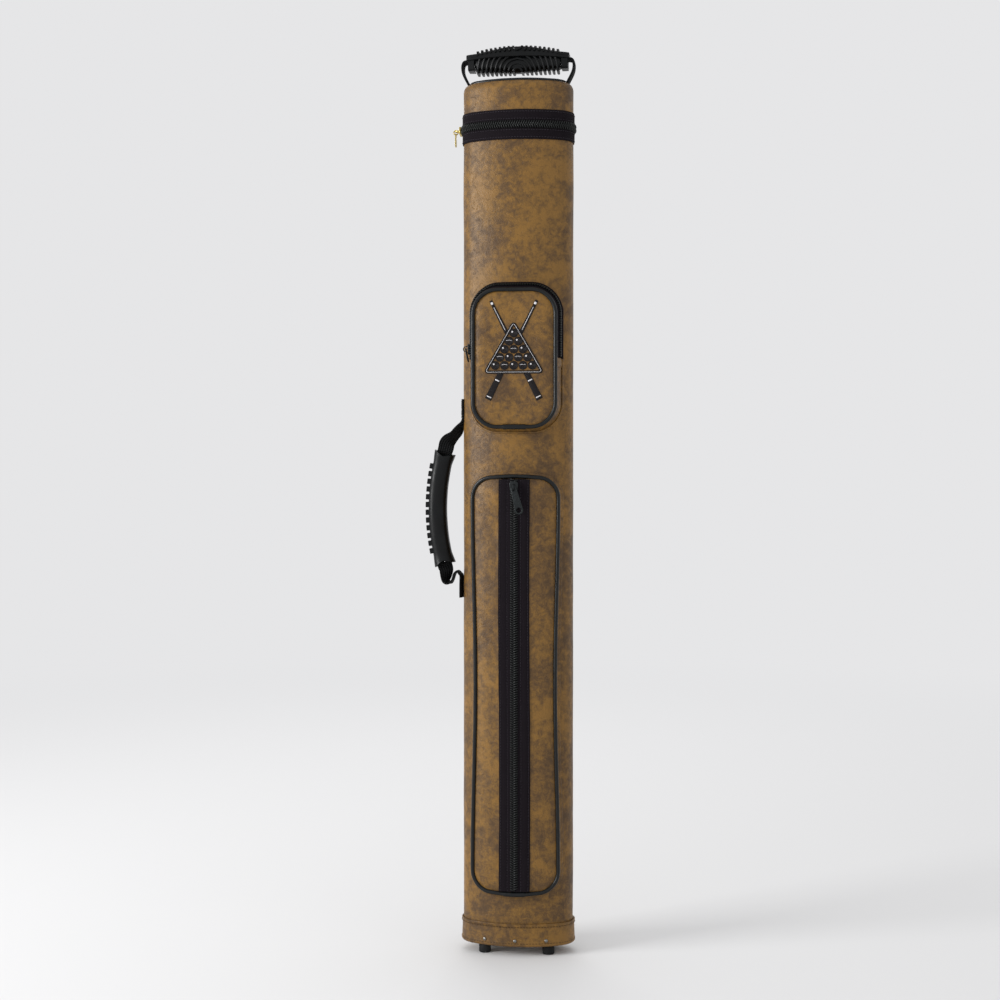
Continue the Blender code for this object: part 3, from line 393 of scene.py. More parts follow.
LEATHER = leather_material()
TAPE, COIL, PIPING, WEBBING = tape_material(), coil_material(), piping_material(), webbing_material()
RUBBER = rubber_material("grip_rubber", colour(5, 6, 7), colour(12, 14, 15), 0.36)
FOOT_RUBBER = rubber_material("foot_rubber", colour(22, 23, 23), colour(34, 35, 35), 0.6)
PLASTIC = rubber_material("tube_plastic", colour(24, 24, 25), colour(34, 34, 35), 0.38)
BLACK_METAL = metal_material("black_metal", colour(26, 30, 31), colour(52, 57, 58), 0.26, 0.55)
GILT = metal_material("gilt_metal", colour(190, 168, 96), colour(228, 212, 150), 0.24, 1.0)
STEEL = metal_material("tack_steel", colour(128, 127, 124), colour(176, 174, 170), 0.3, 1.0)
BLACK_THREAD = thread_material("black_thread", colour(9, 7, 8), colour(30, 25, 27))
WHITE_THREAD = thread_material("white_thread", colour(205, 203, 204), colour(245, 244, 246))
TAN_THREAD = thread_material("tan_thread", colour(48, 34, 19), colour(84, 61, 34))
TAPE_THREAD = thread_material("tape_thread", colour(30, 26, 32), colour(54, 48, 56))
FOAM = foam_material("foam", colour(52, 52, 56), colour(84, 84, 88))
WOOD = wood_material()

# ---- Outlines -----------------------------------------------------------------------------------


def oval_point(angle, offset):
    """The point of the oval, grown by offset, whose outward normal has this angle in degrees."""
    turn = math.radians(angle)
    across, along = math.cos(turn), math.sin(turn)
    if abs(along) > math.sin(math.radians(SEAM_ANGLE)):
        reach = LONG_RADIUS + offset
        return reach * across, reach * along - math.copysign(LONG_CENTRE, along)
    reach = END_RADIUS + offset
    return reach * across + math.copysign(END_CENTRE, across), reach * along


def skin_point(angle, offset, z):
    """The point at this normal angle in degrees, this far outside the oval, at height z."""
    return Vector((*oval_point(angle, offset), z))


def out_of(angle):
    """The outward direction at this normal angle."""
    turn = math.radians(angle)
    return Vector((math.cos(turn), math.sin(turn), 0))


def oval_angles(start=None, stop=None, pitch=0.002):
    """Normal angles about pitch apart along the oval; the whole oval has no repeated end."""
    whole = start is None
    low, high = (REAR, REAR + 360) if whole else (start, stop)
    angle, found = low, []
    while angle < high - 0.2:
        found.append(angle)
        flat = abs(math.sin(math.radians(angle))) > math.sin(math.radians(SEAM_ANGLE - 0.1))
        angle += math.degrees(pitch / (LONG_RADIUS if flat else END_RADIUS))
    return found if whole else [*found, high]


def front_depth(x, offset):
    """How far in front of the axis the oval, grown by offset, is at this x."""
    reach = LONG_RADIUS + offset
    if abs(x) <= reach * math.cos(math.radians(SEAM_ANGLE)):
        return math.sqrt(reach**2 - x**2) - LONG_CENTRE
    return math.sqrt(max((END_RADIUS + offset) ** 2 - (abs(x) - END_CENTRE) ** 2, 0.0))


def front_point(x, offset, z):
    """The point in front of the axis at x and z, this far outside the oval."""
    return Vector((x, -front_depth(x, offset), z))


def front_out(x):
    """The outward normal at this x, on the large arc of the oval's front."""
    return Vector((x, -math.sqrt(LONG_RADIUS**2 - x**2), 0)).normalized()


def spaced(low, high, count):
    """Numbers in this many even steps from low to high, with both ends."""
    return [low + (high - low) * i / count for i in range(count + 1)]


def turns_of(steps):
    """Angles in radians, spread evenly once round."""
    return [2 * math.pi * i / steps for i in range(steps)]


def quarter(across, up, radius, steps, top):
    """A quarter circle in (x, z) about a corner's centre: from its bottom, or round to its top."""
    turns = spaced(0, math.pi / 2, steps)
    if top:
        return [(across + radius * math.cos(t), up + radius * math.sin(t)) for t in turns]
    return [(across + radius * math.sin(t), up - radius * math.cos(t)) for t in turns]


def mirrored(right):
    """A closed outline from its right half, which starts and ends on the middle line."""
    return right + [(-x, z) for x, z in reversed(right[1:-1])]


def rounded_rectangle(half, low, high, radius, pitch=0.0015):
    """A closed outline in (x, z) from the bottom centre, to the right and round, same each side."""
    steps = max(6, round(math.pi / 2 * radius / pitch))
    flat = spaced(0, half - radius, max(2, round((half - radius) / pitch)))[:-1]
    count = 2 * max(2, round((high - low - 2 * radius) / pitch / 2))
    side = spaced(low + radius, high - radius, count)
    right = [(x, low) for x in flat] + quarter(half - radius, low + radius, radius, steps, False)
    right += [(half, z) for z in side[1:-1]] + quarter(half - radius, high - radius, radius, steps, True)
    return mirrored(right + [(x, high) for x in reversed(flat)])


def long_ends(grow):
    """The straight ends of the lower pocket's sides, and its corner radius."""
    return LONG_LOW + LONG_BOW - grow, LONG_HIGH - LONG_BOW + grow, LONG_CORNER + grow


def long_half(z, grow):
    """Half of the lower pocket's width at this height, with its waist and round corners."""
    low, high, radius = long_ends(grow)
    share = min(max((z - low - radius) / (high - low - 2 * radius), 0), 1)
    half = LONG_HALF + grow - LONG_WAIST * math.sin(math.pi * share) ** 2
    into = max(low + radius - z, z - high + radius, 0)
    return half - radius + math.sqrt(max(radius**2 - min(into, radius) ** 2, 0))


def long_outline():
    """The lower pocket's outline in (x, z) from the bottom centre, with bowed ends."""
    low, high, radius = long_ends(0)
    reach = LONG_HALF - radius
    bow = [(x, LONG_BOW * (1 - (x / reach) ** 2)) for x in spaced(0, reach, 10)[:-1]]
    run = spaced(low + radius, high - radius, round((LONG_HIGH - LONG_LOW) / 0.0025))
    right = [(x, low - bulge) for x, bulge in bow] + quarter(reach, low + radius, radius, 12, False)
    right += [(long_half(z, 0), z) for z in run[1:-1]] + quarter(reach, high - radius, radius, 12, True)
    return mirrored(right + [(x, high + bulge) for x, bulge in reversed(bow)])


# ---- Mesh tools ---------------------------------------------------------------------------------


def ripple(point, size, height):
    """Smooth noise at a point, with bumps of about this size and height."""
    return height * noise.noise(Vector(point) / size)


def distances(points, axis):
    """How far each point of a grid is from the start of its row or column, along the grid."""
    steps = np.linalg.norm(np.diff(points, axis=axis), axis=2)
    start = np.zeros_like(steps[:1] if axis == 0 else steps[:, :1])
    return np.concatenate([start, np.cumsum(steps, axis=axis)], axis=axis)


def grids(us, vs, *surfaces):
    """For each surface, the grid of its points over us and, in each row, vs."""
    return [[[surface(u, v) for v in vs] for u in us] for surface in surfaces]


def shaded(mesh, sharp):
    """The mesh with smooth shading, but for edges sharper than an angle in degrees."""
    mesh.shade_smooth()
    mesh.set_sharp_from_angle(angle=math.radians(sharp))
    return mesh


def cleaned(mesh, weld, sharp, slivers=True):
    """Welds points that meet, turns the faces outward and shades the mesh smooth but for sharp edges."""
    bm = bmesh.new()
    bm.from_mesh(mesh)
    bmesh.ops.remove_doubles(bm, verts=bm.verts, dist=weld)
    if slivers:
        bmesh.ops.dissolve_degenerate(bm, edges=bm.edges, dist=weld)
    bmesh.ops.recalc_face_normals(bm, faces=bm.faces)
    bm.to_mesh(mesh)
    bm.free()
    return shaded(mesh, sharp)


class Shape:
    """Points, faces and the weave map of a piece that is being put together."""

    def __init__(self):
        self.points, self.faces, self.maps, self.count = [], [], [], 0

    def grid(self, rows, around=False, along=False, flip=False):
        """Quads through rows of points. The map runs along the rows' order, then across them."""
        points = np.array([[tuple(p) for p in row] for row in rows], float)
        if around:
            points = np.concatenate([points, points[:, :1]], axis=1)
        if along:
            points = np.concatenate([points, points[:1]], axis=0)
        rows_count, columns = points.shape[:2]
        index = np.arange(rows_count * columns).reshape(rows_count, columns) + self.count
        place = np.stack([distances(points, 0), distances(points, 1)], axis=2)
        corners, maps = [
            [part[:-1, :-1], part[:-1, 1:], part[1:, 1:], part[1:, :-1]][:: -1 if flip else 1]
            for part in (index, place)
        ]
        self.faces += np.stack(corners, axis=2).reshape(-1, 4).tolist()
        self.maps.append(np.stack(maps, axis=2).reshape(-1, 2))
        self.points.append(points.reshape(-1, 3))
        self.count += rows_count * columns
        return self

    def fan(self, ring):
        """A flat end over a ring of points."""
        ring = [tuple(p) for p in ring]
        self.faces.append(list(range(self.count, self.count + len(ring))))
        self.maps.append(np.array(ring)[:, :2])
        self.points.append(np.array(ring, float))
        self.count += len(ring)
        return self

    def tube(self, rings, closed=False):
        """A closed body through rings of points."""
        self.grid(rings, around=True, along=closed)
        return self if closed else self.fan(rings[0]).fan(rings[-1])

    def slab(self, outer, inner, around=False):
        """A sheet with thickness between two grids of the same size."""
        self.grid(outer, around=around).grid(inner, around=around, flip=True)
        for end in (0, -1):
            self.grid([outer[end], inner[end]], around=around)
        for side in () if around else (0, -1):
            self.grid([[row[side] for row in face] for face in (outer, inner)])
        return self

    def copies(self, template, frames):
        """The template at each (origin, x axis, y axis, z axis)."""
        points, faces, maps = template
        for origin, *axes in frames:
            turned = points @ np.array([tuple(a) for a in axes]) + np.array(tuple(origin))
            self.faces += [[i + self.count for i in face] for face in faces]
            self.points.append(turned)
            self.maps.append(maps)
            self.count += len(points)
        return self

    def template(self):
        return np.concatenate(self.points), self.faces, np.concatenate(self.maps)

    def mesh(self, name, sharp=40):
        mesh = bpy.data.meshes.new(name)
        points = np.concatenate(self.points) + np.array(tuple(AXIS))
        mesh.from_pydata(points.tolist(), [], self.faces)
        weave = mesh.uv_layers.new(name="weave")
        weave.data.foreach_set("uv", np.concatenate(self.maps).astype(np.float32).ravel())
        return cleaned(mesh, 0.000002, sharp)


def piece(name, source, finish, body, olds=(), bend=None, sharp=40):
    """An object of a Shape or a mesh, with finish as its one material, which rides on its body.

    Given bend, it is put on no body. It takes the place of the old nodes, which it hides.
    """
    mesh = source.mesh(name, sharp) if isinstance(source, Shape) else source
    mesh.materials.clear()
    mesh.materials.append(finish)
    obj = placed(name, mesh)
    if bend:
        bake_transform(obj)
    else:
        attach(obj, body)
    if olds:
        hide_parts(*olds)


def flat_solid(name, outlines, low, high, bevel, matrix=Matrix.Identity(4)):
    """A mesh of closed (x, y) outlines, the later ones holes, from low to high with round edges."""
    curve = bpy.data.curves.new(name, "CURVE")
    curve.dimensions, curve.fill_mode = "2D", "BOTH"
    curve.extrude = (high - low) / 2 - bevel
    curve.bevel_depth, curve.bevel_resolution, curve.offset = bevel, 2, -bevel
    for outline in outlines:
        spline = curve.splines.new("POLY")
        spline.points.add(len(outline) - 1)
        for point, place in zip(spline.points, outline):
            point.co = (*place, 0, 1)
        spline.use_cyclic_u = True
    holder = placed(name, curve)
    bpy.context.view_layer.update()
    mesh = bpy.data.meshes.new_from_object(holder.evaluated_get(bpy.context.evaluated_depsgraph_get()))
    bpy.data.objects.remove(holder)
    bpy.data.curves.remove(curve)
    mesh.transform(Matrix.Translation(AXIS) @ matrix @ Matrix.Translation((0, 0, (low + high) / 2)))
    return cleaned(mesh, 0.000003, METAL_SHARP, slivers=False)


def merged(name, *meshes):
    """Several meshes as one."""
    bm = bmesh.new()
    for mesh in meshes:
        bm.from_mesh(mesh)
    made = bpy.data.meshes.new(name)
    bm.to_mesh(made)
    bm.free()
    return shaded(made, METAL_SHARP)


def circle(x, y, radius, steps=64):
    """A closed outline of a circle."""
    return [(x + radius * math.cos(t), y + radius * math.sin(t)) for t in turns_of(steps)]


def soft_section(half_a, half_b, steps, power):
    """A section between an oval, with a power of 2, and a rectangle, with a high power."""

    def soft(part):
        return math.copysign(abs(part) ** (2 / power), part)

    return [(half_a * soft(math.cos(turn)), half_b * soft(math.sin(turn))) for turn in turns_of(steps)]


def path_frames(points, closed=False):
    """For each point of a path, the unit direction along it."""
    places = [Vector(p) for p in points]
    ends = (places[-1], places[0]) if closed else (places[0], places[-1])
    spread = [ends[0], *places, ends[1]]
    return [(after - before).normalized() for before, after in zip(spread, spread[2:])]


def tube_rings(points, radius, sides, up):
    """Rings round a closed path; radius is a number or a function of the point's number."""
    rings = []
    for i, (place, along) in enumerate(zip(points, path_frames(points, closed=True))):
        side = along.cross(up).normalized()
        over = side.cross(along)
        size = radius(i) if callable(radius) else radius
        ring = [(side * math.cos(t) + over * math.sin(t)) * size for t in turns_of(sides)]
        rings.append([Vector(place) + away for away in ring])
    return rings


def piping(name, line, spots, sleeved, girths, grain, sides, up, body, olds, bend=None):
    """A vinyl cord along a closed line, thicker under the sleeve that covers where its ends meet."""

    def girth(i):
        return PIPING_RADIUS * girths[sleeved(spots[i])] + ripple(spots[i], grain, 0.00008)

    piece(name, Shape().tube(tube_rings(line, girth, sides, up), closed=True), PIPING, body, olds, bend=bend)


def resample(points, outs, pitch, closed=False, shift=0.0):
    """Frames (origin, along, across, out) every pitch along a path with outward directions."""
    places, ways = [np.array([tuple(value) for value in values], float) for values in (points, outs)]
    if closed:
        places, ways = [np.vstack([values, values[:1]]) for values in (places, ways)]
    steps = np.linalg.norm(np.diff(places, axis=0), axis=1)
    reach = np.concatenate([[0], np.cumsum(steps)])
    count = max(1, int(round(reach[-1] / pitch)))
    marks = (np.arange(count) + 0.5 + shift) * reach[-1] / count
    step = pitch * 0.2

    def at(mark, values):
        return Vector([np.interp(mark, reach, values[:, k]) for k in range(3)])

    frames = []
    for mark in marks[marks < reach[-1]]:
        along = (at(mark + step, places) - at(mark - step, places)).normalized()
        out = at(mark, ways)
        out = (out - along * out.dot(along)).normalized()
        frames.append((at(mark, places), along, out.cross(along), out))
    return frames


def stitch_template(length):
    """One stitch: a short thread that dips into the surface at both ends."""
    rings = []
    for share in (-1.0, -0.8, -0.35, 0.35, 0.8, 1.0):
        full = math.sqrt(max(1 - share**4, 0.06))
        middle = STITCH_HEIGHT * (0.35 - 0.75 * share**4)
        across, up = STITCH_WIDTH / 2 * full, STITCH_HEIGHT * 0.65 * full
        ring = [(length / 2 * share, across * math.cos(t), middle + up * math.sin(t)) for t in turns_of(6)]
        rings.append(ring)
    return Shape().tube(rings).template()


def stitch_row(shape, points, outs, pitch=0.0030, closed=False, length=0.0023):
    """A row of stitches; outs is one outward direction, or one for each point."""
    outs = [outs] * len(points) if isinstance(outs, Vector) else outs
    return shape.copies(stitch_template(length), resample(points, outs, pitch, closed))


def tooth_template(way):
    """Half of a coil's loop: from the tape's edge, slanting to just past the middle of the zipper."""
    reach, head, height = COIL_REACH - 0.0002, -0.0009, 0.0009
    lean, girth = 0.7 * TOOTH_PITCH, 0.30 * TOOTH_PITCH
    rings = []
    for share in spaced(0, 1, 6):
        across = reach + (head - reach) * share
        up = height + height * math.sin(math.pi * min(share * 1.1, 1))
        swell = girth * (1 + 0.3 * share**3) * (0.55 if share in (0, 1) else 1)
        rings.append([(lean * (1 - share) + a, way * across, up + b) for a, b in circle(0, 0, swell, 8)])
    return Shape().tube(rings).template()


def teeth(name, points, outs, way, body):
    """The row of teeth on one side of a zipper's line; way is its side."""
    frames = resample(points, outs, TOOTH_PITCH, shift=0.0 if way > 0 else 0.5)
    piece(name, Shape().copies(tooth_template(way), frames), COIL, body, sharp=60)


def outline_outs(outline):
    """Outward directions in (x, z) of a closed outline that runs round to the right from its bottom."""
    places = [(x, 0, z) for x, z in outline]
    return [Vector((along.z, -along.x)) for along in path_frames(places, closed=True)]


def pivot(joint_name):
    """A joint's place, from the axis of the tube."""
    joint = next(joint for joint in frame["joints"] if joint["name"] == joint_name)
    return Vector(joint["pos_m"]) - AXIS


def lathe(profile, origin, direction=Z_AXIS, steps=40):
    """A profile of (radius, height) turned about a direction; its ends lie on the axis."""
    turn = direction.to_track_quat("Z", "Y").to_matrix()
    rings = []
    for radius, height in profile:
        ring = [Vector((radius * math.cos(t), radius * math.sin(t), height)) for t in turns_of(steps)]
        rings.append([origin + turn @ p for p in ring])
    return Shape().tube(rings)


def sheet(us, vs, top, bottom, around=False):
    """A sheet with thickness between two surfaces, each a function of a value of us and one of vs."""
    return Shape().slab(*grids(us, vs, top, bottom), around=around)


def smooth_curve(stations, count):
    """Catmull-Rom values through stations of equal-length tuples of numbers."""
    knots = np.array([stations[0], *stations, stations[-1]], float)
    made = []
    for mark in spaced(0, len(stations) - 1, count):
        i = min(int(mark), len(stations) - 2)
        t = mark - i
        a, b, c, d = knots[i : i + 4]
        bend, ease = (2 * a - 5 * b + 4 * c - d) * t**2, (3 * b - a - 3 * c + d) * t**3
        made.append((b * 2 + (c - a) * t + bend + ease) / 2)
    return made


# ---- Body: skin, cup, feet, tacks ---------------------------------------------------------------


def make_body_skin():
    """The leather of the tube, slightly uneven."""

    def top(z, angle):
        place = skin_point(angle, 0, z)
        return skin_point(angle, ripple(place, 0.06, 0.00030) + ripple(place, 0.014, 0.00008), z)

    def bottom(z, angle):
        return skin_point(angle, -SKIN, z)

    skin = sheet(spaced(BODY_LOW, BODY_HIGH, 200), oval_angles(pitch=0.0025), top, bottom, around=True)
    piece("body_skin", skin, LEATHER, "case", ["body_cover"])


def make_rear_seam():
    """The lap where the skin closes down the rear, with two rows of stitches."""
    half, rise, edge, stitched, gap = 0.0062, 0.00075, 0.0003, 0.0044, 0.0004
    low, high = CUP_HIGH + gap, SPLIT_Z - TAPE_REACH - gap
    across = [REAR + math.degrees(x / LONG_RADIUS) for x in spaced(-half, half, 10)]

    def top(z, angle):
        if angle in (across[0], across[-1]):
            return skin_point(angle, edge, z)
        return skin_point(angle, rise + ripple((angle * 0.01, 0, z), 0.02, 0.00012), z)

    def bottom(z, angle):
        return skin_point(angle, 0.0001, z)

    lap = sheet(spaced(low, high, 240), across, top, bottom)
    piece("rear_seam_lap", lap, LEATHER, "case")
    rows = Shape()
    for x in (-stitched, stitched):
        angle = REAR + math.degrees(x / LONG_RADIUS)
        line = [skin_point(angle, rise, z) for z in spaced(low + 0.002, high - 0.002, 100)]
        stitch_row(rows, line, out_of(angle))
    piece("rear_seam_stitches", rows, TAN_THREAD, "case")


def make_cup():
    """The bottom cup: a rounded lower edge and a folded, stitched hem that flares at the top."""
    low, hem, edge, angles = CUP_LOW, CUP_HIGH, 0.0022, oval_angles()
    turns = spaced(0, math.pi / 2, 6)
    profile = [(-0.0212, low + 0.0004), (-0.0160, low + 0.0002), (-0.0090, low)]
    profile += [(CUP_OUT - edge * (1 - math.sin(t)), low + edge * (1 - math.cos(t))) for t in turns]
    profile += [(CUP_OUT - 0.0002 - 0.0005 * i / 7, low + edge + 0.0022 * i) for i in range(1, 8)]
    rolled = ((7, 38), (4, 30), (2, 14), (0, 6), (3, 1), (9, 0))  # in tenths of a millimetre
    profile += [(CUP_OUT - back / 1e4, hem - drop / 1e4) for back, drop in rolled]
    profile += [(0.0006, hem - 0.0003), (0.0004, hem - 0.0030), (0.0004, low + 0.0030)]
    profile += [(0.0002, low + 0.0021), (-0.0212, low + 0.0020)]

    def skin(spot, angle):
        offset, z = spot
        wave = 0.00022 if z > low + edge and offset > 0.001 else 0.0
        return skin_point(angle, offset - wave + ripple(skin_point(angle, offset, z), 0.018, wave), z)

    cup = Shape().tube(*grids(profile, angles, skin))
    piece("cup_skin", cup, LEATHER, "case", ["base_cup"])
    rows, outs = Shape(), [out_of(angle) for angle in angles]
    for z, offset in ((hem - 0.0030, CUP_OUT - 0.0004), (low + 0.0034, CUP_OUT - 0.0003)):
        stitch_row(rows, [skin_point(angle, offset, z) for angle in angles], outs, closed=True)
    piece("cup_stitches", rows, TAN_THREAD, "case")


def make_feet():
    """Four moulded feet, each with a tread rim and the recess of its screw."""
    for name in [f"foot_{depth}_{side}" for depth in ("front", "rear") for side in ("left", "right")]:
        low, high = near(name)
        radius, top = (high.x - low.x) / 2, high.z
        recess = [(0, 0.0022), (0.0016, 0.0022), (0.0020, 0.0018), (0.0021, 0.0004), (0.0024, 0.0001)]
        tread = [(0.0030, 0), (radius - 0.0010, 0), (radius - 0.0003, 0.0003), (radius, 0.0010)]
        rim = [(radius, top - 0.0022), (radius - 0.0004, top - 0.0016), (radius - 0.0004, top), (0, top)]
        foot = lathe(recess + tread + rim, Vector(((low.x + high.x) / 2, (low.y + high.y) / 2, 0)))
        piece(f"{name}_moulding", foot, FOOT_RUBBER, "case", [name])


def make_tacks():
    """Domed tack heads round the cup."""
    spread = 18
    angles = [side + step for side in (FRONT, REAR) for step in (-spread, 0, spread)]
    for number, angle in enumerate(angles, start=1):
        name = f"base_tack_{number}"
        low, high = near(name)
        origin = skin_point(angle, CUP_OUT - 0.0002, (low.z + high.z) / 2)
        dome = [(0.0017 * math.cos(t), 0.0001 + 0.0010 * math.sin(t)) for t in spaced(0, math.pi / 2, 7)]
        head = [(0, -0.0012), (0.0008, -0.0012), (0.0008, -0.0004), (0.0016, -0.0002), *dome]
        head = lathe(head, origin, out_of(angle), 28)
        piece(f"tack_head_{number}", head, STEEL, "case", [name])


def make_inside():
    """The insert that shows when the cap is open, and the liners below it."""
    low, high = near("cue_insert")
    outlines, wall = [[oval_point(angle, high.x - HALF_WIDTH) for angle in oval_angles()]], 0.0007
    for name in ("butt_liner_left", "butt_liner_right", "shaft_liner_front", "shaft_liner_rear"):
        floor, top = near(name)
        x, y, outer = (floor.x + top.x) / 2, (floor.y + top.y) / 2, (top.x - floor.x) / 2
        rings = [circle(x, y, outer), circle(x, y, outer - wall)]
        outlines.append(rings[1])
        sheets = [[[(*spot, z) for spot in ring] for z in (floor.z, top.z)] for ring in rings]
        liner = Shape().slab(*sheets, around=True)
        piece(f"{name}_tube", liner, PLASTIC, "case", [name])
    plate = flat_solid("insert_plate", outlines, low.z, high.z, 0.0007)
    piece("insert_plate", plate, PLASTIC, "case", ["cue_insert"])


# ---- Cap ----------------------------------------------------------------------------------------


def shoulder(inset, thick):
    """(offset, z) of the cap's rounded shoulder, from its wall to its seam."""
    rise, reach = SEAM_Z - thick - SHOULDER_Z, inset - SEAM_OFFSET - thick * 0.2
    turns = spaced(0, math.pi / 2, 9)
    return [(inset - reach * (1 - math.cos(t)), SHOULDER_Z + rise * math.sin(t)) for t in turns]


def make_cap_skin():
    """The cap's wall and shoulder, gathered towards its seam."""
    angles = oval_angles()
    outer = [(0, z, 1) for z in spaced(CAP_LOW, SHOULDER_Z, 14)[:-1]]
    outer += [(*spot, 1) for spot in shoulder(0, 0)]
    inner = [(-SKIN, z, 0) for z in spaced(CAP_LOW, SHOULDER_Z, 3)[:-1]]
    inner += [(*spot, 0) for spot in shoulder(-SKIN, SKIN)]

    def skin(spot, angle):
        offset, z, side = spot
        gather = max(0.0, (z - SHOULDER_Z) / (SEAM_Z - SHOULDER_Z)) * side
        place = skin_point(angle, 0, z)
        wave = ripple(place, 0.05, 0.0003 * side) + ripple(place, 0.006, 0.0005 * gather)
        return skin_point(angle, offset + wave, z)

    cap = Shape().tube(*grids(outer + inner[::-1], angles, skin), closed=True)
    piece("cap_skin", cap, LEATHER, "cap", ["cap_cover"])


def make_cap_top():
    """The crowned panel on top of the cap, and the piping round it."""
    angles = oval_angles()
    edge, deepest, crown = TOP_PIPING_OFFSET - PIPING_RADIUS + 0.0006, -0.0212, 0.0022

    def panel(share, angle):
        offset = edge + (deepest - edge) * share
        z = SEAM_Z + 0.0002 + crown * 0.8 * (1 - (1 - share) ** 2.2)
        return skin_point(angle, offset, z + ripple(skin_point(angle, offset, 0), 0.02, 0.0003 * share))

    rings = [[skin_point(angle, edge, SEAM_Z - 0.0006) for angle in angles]]
    rings += grids(spaced(0, 1, 9), angles, panel)[0]
    inner = rings[-1]
    for narrow in (0.8, 0.6, 0.4, 0.2, 0.04):
        lift = crown * 0.2 * (1 - narrow**2)
        rings.append([Vector((p.x, p.y * narrow, p.z + lift)) for p in inner])
    piece("cap_top_skin", Shape().tube(rings), LEATHER, "cap", ["cap_top_panel"])

    line = [skin_point(angle, TOP_PIPING_OFFSET, TOP_PIPING_Z) for angle in angles]

    def sleeved(spot):
        return (spot - line[0]).length < 0.009

    olds = ["cap_piping"]
    piping("cap_piping_cord", line, line, sleeved, (0.98, 1.1), 0.009, 14, Z_AXIS, "cap", olds)


def make_cap_zipper():
    """Stitched tapes and meshed teeth round the split, up to the leather hinge at the rear."""
    angles = oval_angles(REAR + FLAP_ANGLE - 360, REAR - FLAP_ANGLE, pitch=0.0015)
    outs, under = [out_of(angle) for angle in angles], 0.0003
    # From the zipper's line: the coil's bed, a stitched rib, the plain tape and its bound edge.
    reaches = [0.0004, 0.0012, 0.0030, RIB_END, 0.0050, 0.0066, 0.0100, 0.0128, 0.0138, TAPE_REACH]
    for way, body, name in ((-1, "case", "body"), (1, "cap", "cap")):

        def top(angle, reach):
            sway = ripple((angle * 0.02, reach, way), 0.3, 0.0002) * (reach == TAPE_REACH)
            z = SPLIT_Z + way * (reach + sway)
            wave = ripple(skin_point(angle, 0, z), 0.02, 0.00015) * (reach > RIB_END)
            dip = TAPE_DIP * (reach in (0.0050, 0.0138, TAPE_REACH))
            return skin_point(angle, under + TAPE_THICK - dip + wave, z)

        def bottom(angle, reach):
            return skin_point(angle, under, SPLIT_Z + way * reach)

        tape = sheet(angles, reaches, top, bottom)
        piece(f"{name}_zip_tape", tape, TAPE, body, [f"{name}_zip"])
        line = [skin_point(angle, under + 0.0002, SPLIT_Z) for angle in angles]
        teeth(f"{name}_zip_teeth", line, outs, way, body)
        rows = Shape()
        for reach in (0.0054, 0.0124):
            line = [skin_point(angle, under + TAPE_THICK, SPLIT_Z + way * reach) for angle in angles]
            stitch_row(rows, line, outs, pitch=0.0027, length=0.0021)
        piece(f"{name}_zip_stitches", rows, TAPE_THREAD, body)


def make_hinge_leather():
    """One piece of leather across the rear of the split, the cap's hinge, and its stitches."""
    half, reach, count = FLAP_ANGLE + 1.6, TAPE_REACH + 0.0010, 40
    offset, thick, soft = 0.0012, 0.0010, 0.0045
    angles = spaced(REAR - half, REAR + half, count)
    heights = spaced(SPLIT_Z - reach, SPLIT_Z + reach, count)

    def top(z, angle):
        edge = z in (heights[0], heights[-1]) or angle in (angles[0], angles[-1])
        wave = ripple(skin_point(angle, 0, z), 0.02, 0.0002)
        return skin_point(angle, offset + thick * (0.35 if edge else 1) + wave, z)

    def bottom(z, angle):
        return skin_point(angle, offset - 0.0007, z)

    leather = sheet(heights, angles, top, bottom)
    bend = ("cap", *[Vector((0, HALF_DEPTH, SPLIT_Z + step)) for step in (-soft, soft)])
    olds = ["hinge_flap_lower", "hinge_flap_upper"]
    piece("hinge_leather", leather, LEATHER, "case", olds, bend=bend)
    # The stitches keep clear of the stretch that bends.
    edge, lift, clear = 0.0026, offset + thick, 0.0055
    side = half - math.degrees(edge / LONG_RADIUS)
    for way, body in ((-1, "case"), (1, "cap")):
        near_z, far_z = SPLIT_Z + way * clear, SPLIT_Z + way * (reach - edge)
        route = [(REAR - side, z) for z in spaced(near_z, far_z, 12)]
        route += [(angle, far_z) for angle in spaced(REAR - side, REAR + side, 40)]
        route += [(REAR + side, z) for z in spaced(far_z, near_z, 12)]
        rows = stitch_row(Shape(), [skin_point(a, lift, z) for a, z in route], Y_AXIS, pitch=0.0028)
        piece(f"hinge_stitches_{body}", rows, TAN_THREAD, body)


# ---- Upper pocket -------------------------------------------------------------------------------


def pocket_depth_in(x, z, inset):
    """How far inside the upper pocket's outline, shrunk by inset, a point is."""
    half = POCKET_HALF - inset
    radius = POCKET_CORNER - inset
    tall = (POCKET_HIGH - POCKET_LOW) / 2 - inset
    across = abs(x) - (half - radius)
    up = abs(z - (POCKET_HIGH + POCKET_LOW) / 2) - (tall - radius)
    return radius - math.hypot(max(across, 0), max(up, 0)) - min(max(across, up), 0)


def pocket_face(x, z):
    """The front surface of the upper pocket: crowned, tucked in at its piping, with soft ripples."""
    into, tuck = max(pocket_depth_in(x, z, PIPING_RADIUS), 0), 0.0014
    rise = (tuck + POCKET_CROWN) * (1 - math.exp(-into / 0.0055))
    calm = 1 - math.exp(-into / 0.004)
    return POCKET_FRONT + tuck - rise + ripple((x, 0, z), 0.022, 0.00045) * calm


